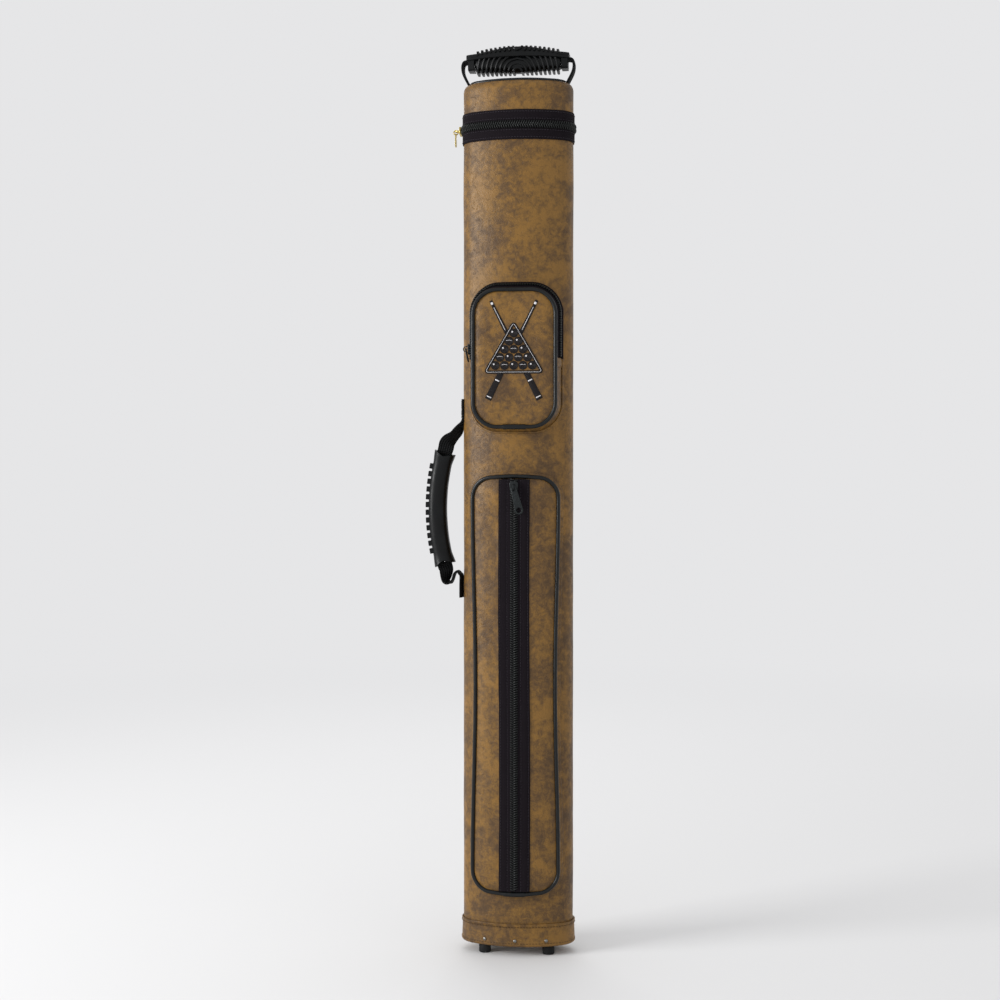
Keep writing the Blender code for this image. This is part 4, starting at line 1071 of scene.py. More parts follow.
def make_pocket_front():
    """The pocket's leather front, which bends at its fold, and the piping round it."""
    inset, back = PIPING_RADIUS - 0.0005, POCKET_FRONT + 0.0022
    half, low, high = POCKET_HALF - inset, POCKET_LOW + inset, POCKET_HIGH - inset
    outline = rounded_rectangle(half, low, high, POCKET_CORNER - inset)

    def shrunk(share):
        """The outline drawn in towards the upright middle line of the pocket."""
        spine = [min(max(z, low + half), high - half) for _, z in outline]
        return [(x * (1 - share), z + (q - z) * share) for (x, z), q in zip(outline, spine)]

    rings = [[(x, back, z) for x, z in shrunk(share)] for share in (1, 0.6, 0.25, 0.04)]
    rings.append([(x, back - 0.0004, z) for x, z in outline])
    for share in (0, 0.012, 0.03, 0.055, 0.09, 0.135, 0.19, *spaced(0.26, 1, 14)):
        rings.append([(x, pocket_face(x, z), z) for x, z in shrunk(share)])
    front, olds = Shape().grid(rings, around=True), ["pocket_lower_panel", "pocket_flap_panel"]
    piece("pocket_front", front, LEATHER, "case", olds, bend=POCKET_BEND)

    outline = rounded_rectangle(POCKET_HALF, POCKET_LOW, POCKET_HIGH, POCKET_CORNER)
    line, spots = [[(x, y, z) for x, z in outline] for y in (POCKET_PIPING_Y, 0)]
    olds, girths = ["pocket_lower_piping", "pocket_flap_piping"], (0.98, 1.26)

    def sleeved(spot):
        return abs(spot[0]) < 0.0115 and spot[2] < POCKET_FOLD

    name = "pocket_piping_cord"
    piping(name, line, spots, sleeved, girths, 0.008, 14, Y_AXIS, "case", olds, POCKET_BEND)


def pocket_wall(outline, outs, marks, thick):
    """Two grids of the pocket's side wall: at each mark from 0, the piping, to 1, the body."""
    start, laid, hem = POCKET_PIPING_Y + PIPING_RADIUS * 0.6, 0.0003, 0.0012

    def pair(x, z, out, mark, lift):
        """The outer and the inner point; past 1, a mark adds metres of hem that lies on the body."""
        crest = max(0, (z - POCKET_HIGH + POCKET_CORNER) / POCKET_CORNER)
        grow = 0.0004 + (GUSSET_FLARE + TOP_FLARE * crest) * min(mark, 1) ** 0.8 + lift
        px, pz = x + out.x * grow, z + out.y * grow
        y = start + (-front_depth(px, laid) - start) * mark
        if mark > 1:
            px, pz = px + out.x * (mark - 1), pz + out.y * (mark - 1)
            y = -front_depth(px, laid if lift else hem)
        under = min(y + (0.0008 if mark > 1 else 0), -front_depth(px - out.x * thick, 0.0002))
        return (px, y, pz), (px - out.x * thick, under, pz - out.y * thick)

    rows = [[pair(x, z, out, *mark) for mark in marks] for (x, z), out in zip(outline, outs)]
    return [[[both[side] for both in row] for row in rows] for side in (0, 1)]


def pocket_run(low, high):
    """The upper pocket's outline between two heights, as one run with its outward directions."""
    outline = rounded_rectangle(POCKET_HALF, POCKET_LOW, POCKET_HIGH, POCKET_CORNER, 0.0013)
    pairs = [(p, out) for p, out in zip(outline, outline_outs(outline)) if low < p[1] < high]
    way, end = 1, low
    if low < POCKET_LOW:  # This run starts at the left, where the outline comes back below its top.
        cut = next(i for i, ((x, _), _) in enumerate(pairs) if x < 0)
        pairs, way, end = pairs[cut:] + pairs[:cut], -1, high
    first, last = [((side * POCKET_HALF, end), Vector((side, 0))) for side in (way, -way)]
    return list(zip(first, *pairs, last))


def make_pocket_walls():
    """The leather wall below the fold and, above it, both tapes of the zipper with their teeth."""
    outline, outs = pocket_run(-1, POCKET_FOLD - 0.0002)
    marks = [(m, 0) for m in (0, 0.06, 0.15, 0.3, 0.5, 0.7, 0.85, 0.95, 1, 1.0008, 1.0018)]
    wall = Shape().slab(*pocket_wall(outline, outs, [*marks, (1.0022, 0.0002)], 0.0012))
    piece("pocket_gusset_skin", wall, LEATHER, "case", ["pocket_gusset"])

    outline, outs = pocket_run(POCKET_FOLD + 0.0002, 1)
    line = [Vector(row[0]) for row in pocket_wall(outline, outs, [(ZIP_SHARE, -0.0006)], 0.0005)[0]]
    spread = [Vector((out.x, 0, out.y)) for out in outs]
    flap_end, base_start = ZIP_SHARE - ZIP_GAP, ZIP_SHARE + ZIP_GAP
    flap = [(m * flap_end, 0) for m in (0, 0.1, 0.3, 0.5, 0.75, 1)]
    base = [(base_start + (1 - base_start) * m, 0) for m in (0, 0.3, 0.6, 1)]
    base += [(1.0010, 0), (1.0016, 0.0002)]
    halves = (
        ("flap", "pocket_flap", flap, 1, "pocket_flap_zip"),
        ("base", "case", base, -1, "pocket_zip_base"),
    )
    for name, body, marks, way, old in halves:
        tape = Shape().slab(*pocket_wall(outline, outs, marks, TAPE_THICK))
        piece(f"pocket_{name}_tape", tape, TAPE, body, [old])
        teeth(f"pocket_{name}_teeth", line, spread, way, body)


def make_zip_folds():
    """The two leather folds that cover the ends of the pocket's zipper."""
    start = POCKET_PIPING_Y + PIPING_RADIUS
    for way, side in SIDES:

        def skin(along, turn):
            z = POCKET_FOLD - 0.0042 + 0.0048 * along
            swell = 0.0013 * math.sqrt(max(1 - along**2, 0.02))
            mark = 0.48 - 0.46 * math.cos(turn)
            x = way * (POCKET_HALF + 0.0004 + GUSSET_FLARE * mark**0.8 + swell * (0.25 + math.sin(turn)))
            y = start + (-front_depth(x, 0.0004) - start) * mark
            return (x, y, z + ripple((mark, along, way), 0.5, 0.0004))

        fold = Shape().tube(*grids(spaced(-1, 1, 12), turns_of(18), skin))
        piece(f"pocket_zip_fold_{side}", fold, LEATHER, "case")


# ---- Embroidery: a rack of plain balls over two crossed cues ------------------------------------


def on_pocket(x, z, lift):
    """The point this far in front of the upper pocket's face."""
    return Vector((x, pocket_face(x, z) - lift, z))


def satin_line(shape, points, half, height):
    """A raised line of satin stitch through (x, z) points; half may change along it."""
    places = [Vector((x, 0, z)) for x, z in points]
    rows = []
    for i, (place, along) in enumerate(zip(places, path_frames(places))):
        side = Vector((along.z, 0, -along.x))
        wide = half(i / (len(points) - 1)) if callable(half) else half
        rise = height * (0.4 if i in (0, len(points) - 1) else 1.0)
        row = []
        for share in (-1, -0.9, -0.6, 0, 0.6, 0.9, 1):
            spot = place + side * wide * share
            lift = -0.0002 if abs(share) == 1 else rise * math.sqrt(1 - 0.75 * share**2)
            row.append(on_pocket(spot.x, spot.z, lift))
        rows.append(row)
    under = [[on_pocket(p.x, p.z, -0.0003) for p in row] for row in rows]
    return shape.slab(rows, under)


def satin_disc(shape, x, z, radius, height):
    """A raised spot of satin stitch."""
    dome = ((1, 0.3), (0.93, 0.75), (0.7, 1.0), (0.35, 1.1), (0.05, 1.12))
    profile = [(0.3, -0.0003), (1, -0.0003)] + [(share, lift * height) for share, lift in dome]
    rings = []
    for share, level in profile:
        rings.append([on_pocket(*spot, level) for spot in circle(x, z, radius * share, 22)])
    return shape.tube(rings)


def soft_loop(corners, cut, pitch):
    """A closed line through corners given as 2D vectors, with each corner rounded, pitch apart."""
    loop = []
    for i, here in enumerate(corners):
        back = (corners[i - 1] - here).normalized() * cut
        on = (corners[(i + 1) % len(corners)] - here).normalized() * cut
        loop += [here + back * (1 - s) ** 2 + on * s**2 for s in spaced(0, 1, 8)]
    dense = []
    for here, there in zip(loop, [*loop[1:], loop[0]]):
        count = max(1, round((there - here).length / pitch))
        dense += [here.lerp(there, i / count) for i in range(count)]
    return [tuple(place) for place in [*dense, dense[0]]]


def embroider_cues(black, white):
    """Two crossed cues: black wood, white rings and tips, hidden where the rack lies over them."""
    butt_half, tip_half = 0.0034, 0.0015
    for way in (-1, 1):
        butt, tip = Vector((way * 0.0252, 0.5450)), Vector((-way * 0.0225, 0.6405))

        def cue(shape, low, high, count, half, height):
            places = [tuple(butt.lerp(tip, share)) for share in spaced(low, high, count)]
            satin_line(shape, places, half, height)

        def width(low, high):
            return lambda share: butt_half + (tip_half - butt_half) * (low + (high - low) * share)

        for low, high in ((0.0, 0.270), (0.672, 1.0)):
            cue(black, low, high, 26, width(low, high), 0.0008)
        for low, high in ((0.020, 0.032), (0.185, 0.200), (0.955, 0.985)):
            cue(white, low, high, 4, width(low, high)(0.5) * 0.8, 0.0012)
        cue(white, 0.692, 0.940, 20, 0.00032, 0.0011)


def embroider_rack(black, white):
    """A triangle of balls, spotted and belted by turns, in a rack."""
    size, rows_of_balls, top = 0.0090, 5, 0.6090
    rise = size * math.sqrt(3) / 2
    for row in range(rows_of_balls):
        for place in range(row + 1):
            x, z = (place - row / 2) * size, top - row * rise
            satin_disc(black, x, z, size * 0.475, 0.0011)
            if (row + place) % 2 == 0:
                satin_disc(white, x - size * 0.13, z + size * 0.13, size * 0.10, 0.0016)
            else:
                wave = [(d, size * 0.10 * math.cos(d / 0.0026)) for d in spaced(-0.0032, 0.0032, 8)]
                satin_line(white, [(x + d, z + up) for d, up in wave], 0.00032, 0.0015)
    apex, foot = top + size * 1.12, top - (rows_of_balls - 1) * rise - size * 0.72
    wide = size * (rows_of_balls / 2 + 0.58)
    rack = soft_loop([Vector((0, apex)), Vector((-wide, foot)), Vector((wide, foot))], 0.0035, 0.0015)
    satin_line(black, rack, 0.0016, 0.0010)
    satin_line(white, rack, 0.00028, 0.0014)


def make_embroidery():
    """Black and white thread on the pocket's front, which bends with it."""
    black, white = Shape(), Shape()
    embroider_cues(black, white)
    embroider_rack(black, white)
    for name, shape, finish in (("black", black, BLACK_THREAD), ("white", white, WHITE_THREAD)):
        piece(f"embroidery_{name}", shape, finish, "case", bend=POCKET_BEND)


# ---- Lower pocket -------------------------------------------------------------------------------


def make_long_skins():
    """The two leather panels beside the long zipper."""

    def face(x, z):
        """The offset of the leather from the oval: puffed up from its piping, slightly slack."""
        into = max(min(long_half(z, -LONG_INSET) - abs(x), z - LONG_SKIN_LOW, LONG_SKIN_HIGH - z), 0)
        rise = (LONG_SKIN_TOP - LONG_SKIN_EDGE) * (1 - math.exp(-into / 0.005))
        calm = (1 - math.exp(-into / 0.004)) * (1 if abs(x) > LONG_TAPE + 0.001 else 0.2)
        slack = ripple((x, 0, z), 0.035, 0.0006) + ripple((x, 0, z), 0.011, 0.00025)
        return LONG_SKIN_EDGE + rise + slack * calm

    def surface(way, under):
        """One face of a panel on one side, this far under the leather's outer face."""

        def at(z, share):
            far = long_half(z, -LONG_INSET)
            x = far - (far - LONG_LIP) * share
            return front_point(way * x, face(x, z) - under, z)

        return at

    ends = [LONG_SKIN_LOW + 0.010 * (1 - math.cos(t)) for t in spaced(0, math.pi / 2, 12)]
    top_ends = [LONG_SKIN_LOW + LONG_SKIN_HIGH - z for z in reversed(ends)]
    heights = ends[:-1] + spaced(ends[-1], top_ends[0], 190) + top_ends[1:]
    shares = (0, 0.03, 0.07, 0.13, *spaced(0.2, 1, 14))
    for way, side in SIDES:
        panel = sheet(heights, shares, surface(way, 0), surface(way, SKIN))
        piece(f"long_pocket_skin_{side}", panel, LEATHER, "case", [f"long_pocket_panel_{side}"])


def make_long_gusset():
    """The leather band under the piping, with a hem on the body and a pleat at its bottom."""
    outline = long_outline()
    # How far outside the outline and how high above the body, from under the piping to the hem.
    rails = [(0.0000, 0.0066), (0.0008, 0.0050), (0.0014, 0.0030), (0.0019, 0.0019)]
    rails += [(0.0028, 0.0015), (0.0037, 0.0014), (0.0041, 0.0010), (0.0042, 0.0003)]

    def top(rail, spot):
        (grow, offset), ((x, z), out) = rail, spot
        pleat = math.exp(-(((abs(x) - 0.0034) / 0.0016) ** 2)) * (z < LONG_LOW + 0.001)
        reach = grow + (ripple((x, 0, z), 0.03, 0.0007) + 0.0010 * pleat) * min(grow / 0.002, 1)
        lift = 0.0008 * pleat * (0.001 < grow < 0.004)
        return front_point(x + out.x * reach, offset + lift, z + out.y * reach)

    def bottom(rail, spot):
        (grow, offset), ((x, z), out) = rail, spot
        reach = min(grow, 0.0019) - 0.0012
        return front_point(x + out.x * reach, min(offset, 0.0064) - 0.0001, z + out.y * reach)

    gusset = sheet(rails, list(zip(outline, outline_outs(outline))), top, bottom, around=True)
    piece("long_pocket_gusset_skin", gusset, LEATHER, "case", ["long_pocket_gusset"])


def make_long_piping():
    """The piping round the lower pocket."""
    outline = long_outline()
    line = [front_point(x, LONG_PIPING_OFFSET, z) for x, z in outline]
    spots, olds = [(x, 0, z) for x, z in outline], ["long_pocket_piping"]

    def sleeved(spot):
        return abs(spot[0]) < 0.0100 and spot[2] < LONG_LOW + 0.01

    name = "long_pocket_piping_cord"
    piping(name, line, spots, sleeved, (0.96, 1.22), 0.009, 12, Y_AXIS, "case", olds)


def make_long_zipper():
    """Both tapes of the long zipper, with their stitches and teeth."""
    under, sewn, loose = LONG_SKIN_TOP + 0.0002, (0.0066, 0.0136), 0.8
    heights = spaced(LONG_SKIN_LOW + 0.0004, LONG_SKIN_HIGH - 0.0004, 260)
    # From the zipper's line: the coil's bed, a stitched rib, the tape with its rows, and its edge.
    reaches = [0.0004, 0.0012, 0.0030, RIB_END, 0.0060, sewn[0], 0.0072, 0.0100, 0.0130, sewn[1], 0.0142]

    def sway(z):
        """The zipper wanders a little down its length, as sewn cloth does."""
        turn = (z - LONG_SKIN_LOW) / (LONG_SKIN_HIGH - LONG_SKIN_LOW) * 2 * math.pi
        return 0.0006 * math.sin(turn) + ripple((0, 0, z), 0.05, 0.0003)

    for way, side in SIDES:

        def across(z, reach):
            drift = (sway(z) + ripple((way, 0, z), 0.014, 0.00025)) * (reach > 0.0030)
            return way * reach + drift * reach / LONG_TAPE * loose

        def top(z, reach):
            x = across(z, reach)
            wave = ripple((x, way, z), 0.02, 0.0002) * (reach > RIB_END)
            dip = TAPE_DIP * (reach in (*sewn, LONG_TAPE))
            return front_point(x, under + TAPE_THICK - dip + wave, z)

        def bottom(z, reach):
            return front_point(across(z, reach), under - 0.0001, z)

        tape = sheet(heights, [*reaches, LONG_TAPE], top, bottom)
        piece(f"long_pocket_tape_{side}", tape, TAPE, "case", [f"long_pocket_zip_{side}"])
        rows = Shape()
        for reach in sewn:
            middles = [way * reach + sway(z) * reach / LONG_TAPE * loose for z in heights]
            line = [front_point(x, under + TAPE_THICK - 0.0001, z) for x, z in zip(middles, heights)]
            stitch_row(rows, line, front_out(way * reach), pitch=0.0028, length=0.0022)
        piece(f"long_pocket_stitches_{side}", rows, TAPE_THREAD, "case")
        line = [front_point(0, under + 0.0001, z) for z in heights]
        teeth(f"long_pocket_teeth_{side}", line, [-Y_AXIS] * len(line), -way, "case")


# ---- Sliders and pulls --------------------------------------------------------------------------


def slider(body, old, face, axes, thick, flange, finish):
    """A zipper's slider: a shouldered plate, side flanges below it and a crown bridge for its pull.

    face is how far out the zipper's teeth are; axes are the directions across, along and out.
    """
    across, along, out = axes
    low, high = near(old)
    length, width = abs((high - low).dot(along)), abs((high - low).dot(across))
    middle = (low + high) / 2
    middle += out * (face + PLATE_LIFT - middle.dot(out))
    matrix = Matrix.Translation(middle) @ Matrix(axes).transposed().to_4x4()
    # Up one side, as shares of the length and of the width.
    stations = [(-0.50, 0.30), (-0.44, 0.40), (-0.15, 0.44), (0.12, 0.50)]
    stations += [(0.30, 0.50), (0.42, 0.40), (0.49, 0.24)]
    right = [(width * w, length * y) for y, w in stations]
    outline = right + [(-x, y) for x, y in reversed(right)]
    parts = [flat_solid("plate", [outline], -thick / 2, thick / 2, thick * 0.3, matrix)]
    for way in (-1, 1):
        edge = [(way * x * 0.98, y) for x, y in right[1:6]]
        edge += [(way * (x * 0.98 - 0.0008), y) for x, y in reversed(right[1:6])]
        parts.append(flat_solid("flange", [edge], -thick / 2 - flange, -thick * 0.2, 0.0002, matrix))
    # The bridge reaches the outer side of the node.
    rise, foot, rings = low.dot(out) - face - 0.0012, thick * 0.3, []
    turns = spaced(0, math.pi, 18)
    arch = [(0, 0.0029 * math.cos(turn), foot + rise * math.sin(turn) ** 0.6) for turn in turns]
    for place, way in zip(arch, path_frames(arch)):
        over = X_AXIS.cross(way).normalized()
        section = soft_section(0.00075, 0.00045, 10, 2 / 0.6)
        rings.append([matrix @ (Vector(place) + X_AXIS * a + over * b) for a, b in section])
    mesh = merged("slider", *parts, Shape().tube(rings).mesh("bridge"))
    piece(f"{body}_body", mesh, finish, body, [old])


def pull_outline(top_half, bottom_half, length, rise=0.0008):
    """A tab in (x, y) hanging from its bar at the origin: rounded at the top, wider at the bottom."""
    corner, centre = 0.0006, bottom_half - length
    inner, under = top_half - corner, rise - corner
    top = [(-top_half, under), (-inner, rise), (inner, rise), (top_half, under)]
    turns = spaced(0, math.pi, 20)
    return top + [(bottom_half * math.cos(t), centre - bottom_half * math.sin(t)) for t in turns]


def pull_window(half):
    """The slot by which a tab hangs from its bar."""
    low, high = -0.0039, -0.0008
    return [(-half, high), (half, high), (half, low), (-half, low)]


def hung(place, tilt=0.0, turn=0.0):
    """A matrix for a tab that hangs at place, tilted about Y and turned about Z by degrees."""
    turned = Matrix.Rotation(math.radians(tilt), 4, "Y") @ Matrix.Rotation(math.radians(turn), 4, "Z")
    return Matrix.Translation(place) @ turned @ Matrix.Rotation(math.pi / 2, 4, "X")


def pull_tab(name, outlines, thick, matrix, finish, body, old):
    tab = flat_solid(name, outlines, -thick / 2, thick / 2, thick / 4, matrix)
    piece(name, tab, finish, body, [old])


def make_sliders():
    """The black sliders of both pockets, each with a flat pull."""
    axes = (X_AXIS, Z_AXIS, -Y_AXIS)
    face = HALF_DEPTH + 0.0105
    slider("long_slider", "long_pocket_slider", face, axes, 0.0016, 0.0008, BLACK_METAL)
    outlines = [pull_outline(0.0026, 0.0042, 0.0270), pull_window(0.0015), circle(0, -0.0228, 0.0026, 32)]
    place = hung(pivot("long_pull_swing"), tilt=-13.5)
    name, old = "long_pull_tab", "long_pocket_pull"
    pull_tab(name, outlines, 0.0012, place, BLACK_METAL, "long_pull", old)

    axes = (-Y_AXIS, Z_AXIS, -X_AXIS)
    face = -near("pocket_slider")[1].x
    slider("pocket_slider", "pocket_slider", face, axes, 0.0014, 0.0005, BLACK_METAL)
    outlines = [pull_outline(0.0024, 0.0034, 0.0130), pull_window(0.0011)]
    place = hung(pivot("pocket_pull_swing"), tilt=-12, turn=90)
    name, old = "pocket_pull_tab", "pocket_pull"
    pull_tab(name, outlines, 0.0012, place, BLACK_METAL, "pocket_pull", old)


def make_cap_slider():
    """The gilt slider at the left end of the oval, with its ring and hanging tab."""
    axes = (Z_AXIS, Y_AXIS, -X_AXIS)
    slider("cap_slider", "cap_slider", HALF_WIDTH + 0.0025, axes, 0.0015, 0.0006, GILT)
    low, high = near("cap_pull_link")
    middle, wire = (low + high) / 2, 0.00055
    radius = (high.x - low.x) / 2 - wire
    ring = [middle + Vector((x, 0, z)) for x, z in circle(0, 0, radius, 28)]
    link = Shape().tube(tube_rings(ring, wire, 10, Y_AXIS), closed=True)
    piece("cap_pull_ring", link, GILT, "cap_pull", ["cap_pull_link"])
    low, high = near("cap_pull_tab")
    place = hung(((low.x + high.x) / 2, 0, high.z - 0.0016), turn=90)
    outlines = [pull_outline(0.0022, 0.0036, 0.0120, 0.0016), circle(0, 0, 0.0011, 20)]
    pull_tab("cap_pull_tag", outlines, 0.0010, place, GILT, "cap_pull", "cap_pull_tab")


# ---- Side handle --------------------------------------------------------------------------------

GRIP_LOW, GRIP_HIGH = near("side_grip")
GRIP_MIDDLE_Z = (GRIP_LOW.z + GRIP_HIGH.z) / 2
GRIP_HALF = 0.0570
GRIP_MIDDLE_X = -0.0815
GRIP_BEND = 0.2100  # the radius to which the grip is bowed
GRIP_RADIAL, GRIP_DEPTH = 0.0104, 0.0080  # half sizes away from the tube and along its depth
SWING_X = -0.0580  # where the straps leave the tube
PATCH_UPPER = near("strap_patch_upper")
PATCH_LOWER = near("strap_patch_lower")
STRAP_THICK = 0.0019
STRAP_FLAT = -(HALF_WIDTH + 0.0004 + STRAP_THICK / 2)  # the middle of a strap that lies on the tube


def grip_frame(turn):
    """The middle of the side grip at an angle along its bend, and the way out from the tube."""
    away = Vector((-math.cos(turn), 0, math.sin(turn)))
    return Vector((GRIP_MIDDLE_X + GRIP_BEND, 0, GRIP_MIDDLE_Z)) + away * GRIP_BEND, away


def make_side_grip():
    """A bowed moulding with notched ends and a comb of blocks down its outer edge."""
    radial = GRIP_RADIAL - 0.0012

    def section(share):
        """A ring round the moulding, which flares and is notched towards its ends at -1 and 1."""
        flare = 1 + 0.16 * max(abs(share) - 0.8, 0) / 0.2 - 0.05 * (abs(share) == 1)
        ring = []
        for a, b in soft_section(radial * flare, GRIP_DEPTH * flare, 32, 2.7):
            notch = 0.0045 * (1 - abs(a) / (radial * flare)) * max(abs(share) - 0.85, 0) / 0.15
            centre, away = grip_frame((GRIP_HALF * share - math.copysign(notch, share)) / GRIP_BEND)
            ring.append(centre + away * (a - 0.0006) + Vector((0, b, 0)))
        return ring

    marks = [-1, -0.995, -0.98, *spaced(-0.96, 0.96, 60), 0.98, 0.995, 1]
    rings = [section(share) for share in marks]
    inward = (rings[3][0] - rings[0][0]).normalized() * 0.003

    def hollow(end, way):
        """The rim and the floor of the hollow that a strap enters."""
        middle = sum(end, Vector()) / len(end)
        return [p.lerp(middle, 0.22) for p in end], [p.lerp(middle, 0.26) + inward * way for p in end]

    (rim_low, floor_low), (rim_high, floor_high) = hollow(rings[0], 1), hollow(rings[-1], -1)
    shape = Shape().tube([floor_low, rim_low, *rings, rim_high, floor_high])
    blocks, comb_half, block_half, cut = 12, 0.78 * GRIP_HALF, 0.0026, 0.0004
    for i in range(blocks):
        middle, rings = comb_half * (2 * (i + 0.5) / blocks - 1), []
        for along in (-1, -0.85, 0.85, 1):
            centre, away = grip_frame((middle + along * block_half) / GRIP_BEND)
            trim = cut if abs(along) == 1 else 0
            back, out, wide = GRIP_RADIAL - 0.0030, GRIP_RADIAL + 0.0008 - trim, 0.0046 - trim
            side = [(back, wide), (out - cut, wide), (out, wide - cut)]
            corners = [(a, -b) for a, b in side] + side[::-1]
            rings.append([centre + away * a + Vector((0, b, 0)) for a, b in corners])
        shape.tube(rings)
    piece("side_grip_moulding", shape, RUBBER, "side_handle", ["side_grip"], sharp=32)


def webbing(name, stations, thick, count, body, olds, bend):
    """A strap through stations of (x, y, z, half width, bow, across x, across y, across z)."""
    values = smooth_curve(stations, count)
    centres = [Vector(value[:3]) for value in values]
    outer, inner = [], []
    for value, centre, along in zip(values, centres, path_frames(centres)):
        half, bow, across = value[3], value[4], Vector(value[5:])
        across = (across - along * across.dot(along)).normalized()
        up = across.cross(along)
        row, under = [], []
        for share in (-1, -0.93, -0.75, -0.5, -0.25, 0, 0.25, 0.5, 0.75, 0.93, 1):
            spot = centre + across * half * share - up * bow * share**2
            edge = thick / 2 * (0.45 if abs(share) == 1 else 0.9 if abs(share) > 0.9 else 1)
            row.append(spot + up * edge)
            under.append(spot - up * edge)
        outer.append(row)
        inner.append(under)
    piece(name, Shape().slab(outer, inner), WEBBING, body, olds, bend=bend)


def station(x, z, half, bow=0.0, lean=0.0, rise=0.0):
    """A strap's station in the plane y = 0; lean and rise turn its width out of the y direction."""
    return (x, 0, z, half, bow, lean, 1, rise)


def mouth(way, out, half, twist):
    """A strap's station this far outside the grip's upper or lower end."""
    centre, away = grip_frame(way * (GRIP_HALF + out) / GRIP_BEND)
    return (*centre, half, 0.0, -away.x, twist, -away.z)


def patch_run(far, middle, close):
    """The stations of a strap where it is sewn flat to the tube."""
    run = [station(STRAP_FLAT, z, 0.0088, 0.0017) for z in (far, middle)]
    return [*run, station(STRAP_FLAT, close, 0.0086, 0.0016)]


def make_side_straps():
    """Two straps: each leaves the patch sewn to the left side, turns and enters the grip's end."""
    low, high = PATCH_UPPER[0].z, PATCH_UPPER[1].z
    upper = [
        *patch_run(high, (low + high) / 2, low + 0.0010),
        station(SWING_X - 0.0006, low - 0.0055, 0.0084, 0.0008, 0.30),
        station(SWING_X - 0.0044, low - 0.0130, 0.0080, 0.0, 0.95, 0.2),
        mouth(1, 0.0105, 0.0078, 0.40),
        mouth(1, 0.0040, 0.0078, 0.05),
        mouth(1, -0.0030, 0.0074, 0.0),
    ]
    bend = ("side_handle", Vector((SWING_X, 0, low + 0.001)), Vector((SWING_X, 0, low - 0.014)))
    olds = ["side_strap_upper", "strap_patch_upper"]
    webbing("side_strap_webbing_upper", upper, STRAP_THICK, 70, "case", olds, bend)
    low, high = PATCH_LOWER[0].z, PATCH_LOWER[1].z
    lower = [
        *patch_run(low, (low + high) / 2, high - 0.0030),
        station(SWING_X + 0.0003, high - 0.0004, 0.0084, 0.0012),
        station(SWING_X - 0.0026, high + 0.0016, 0.0082, 0.0004),
        station(SWING_X - 0.0056, high - 0.0008, 0.0080),
        station(SWING_X - 0.0078, high - 0.0072, 0.0078),
        station(SWING_X - 0.0108, high - 0.0105, 0.0072, 0.0, 0.2),
        station(SWING_X - 0.0145, high - 0.0075, 0.0068, 0.0, 0.6, 0.1),
        mouth(-1, 0.0050, 0.0070, 0.3),
        mouth(-1, 0.0012, 0.0074, 0.05),
        mouth(-1, -0.0030, 0.0074, 0.0),
    ]
    bend = ("side_handle", Vector((SWING_X - 0.0005, 0, high)), Vector((SWING_X - 0.0085, 0, high)))
    olds = ["side_strap_lower", "strap_patch_lower"]
    webbing("side_strap_webbing_lower", lower, STRAP_THICK, 90, "case", olds, bend)


def make_patch_stitches():
    """A crossed box of stitches on each of the side handle's patches."""
    rows, lift, spread, shares = Shape(), 0.0004 + STRAP_THICK, 17.0, spaced(0, 1, 8)
    upper = (PATCH_UPPER[0].z + 0.003, PATCH_UPPER[1].z - 0.002)
    lower = (PATCH_LOWER[0].z + 0.002, PATCH_LOWER[1].z - 0.005)
    for low, high in (upper, lower):
        box = [(-spread, low), (spread, low), (spread, high), (-spread, high)]
        route = [*box, box[0], box[2], box[1], box[3]]
        for (a, z_a), (b, z_b) in zip(route, route[1:]):
            angles = [LEFT + a + (b - a) * s for s in shares]
            line = [skin_point(angle, lift, z_a + (z_b - z_a) * s) for angle, s in zip(angles, shares)]
            stitch_row(rows, line, [out_of(angle) for angle in angles], pitch=0.0024, length=0.0019)
    piece("strap_patch_stitches", rows, BLACK_THREAD, "case")


# ---- Top handle ---------------------------------------------------------------------------------

TOP_GRIP_LOW, TOP_GRIP_HIGH = near("top_grip")
TOP_HALF = TOP_GRIP_HIGH.x
BAND_DROP = 0.0084  # from the grip's top to the middle of its band
BAND_ARCH = 0.0026  # how much lower the band's ends are than its middle
BAND_HALF = 0.0032
FIN_PITCH, FIN_HALF, FIN_COUNT = 0.0044, 0.00125, 9


def band_middle(x):
    """The height of the middle of the top grip's arched band."""
    return TOP_GRIP_HIGH.z - BAND_DROP - BAND_ARCH * (x / TOP_HALF) ** 2


def comb_top(x):
    """The height of the tips of the upper fins."""
    return TOP_GRIP_HIGH.z - 0.0045 * (x / 0.040) ** 2


def comb_bottom(x):
    """The height of the tips of the lower fins."""
    return TOP_GRIP_LOW.z


def narrowing(x):
    """How the top grip's depth shrinks towards its ends."""
    return 1 - 0.22 * (x / TOP_HALF) ** 4


def grip_bar(shape, xs, low_at, high_at, depth, power, trim):
    """A bar along x between two heights, with rounded sections and ends smaller by trim."""
    rings = []
    for i, x in enumerate(xs):
        centre, half = (low_at(x) + high_at(x)) / 2, (high_at(x) - low_at(x)) / 2
        cut = trim if i in (0, len(xs) - 1) else 0.0
        section = soft_section(depth * narrowing(x) - cut, half - cut, 36, power)
        rings.append([(x, y, centre + z) for y, z in section])
    shape.tube(rings)


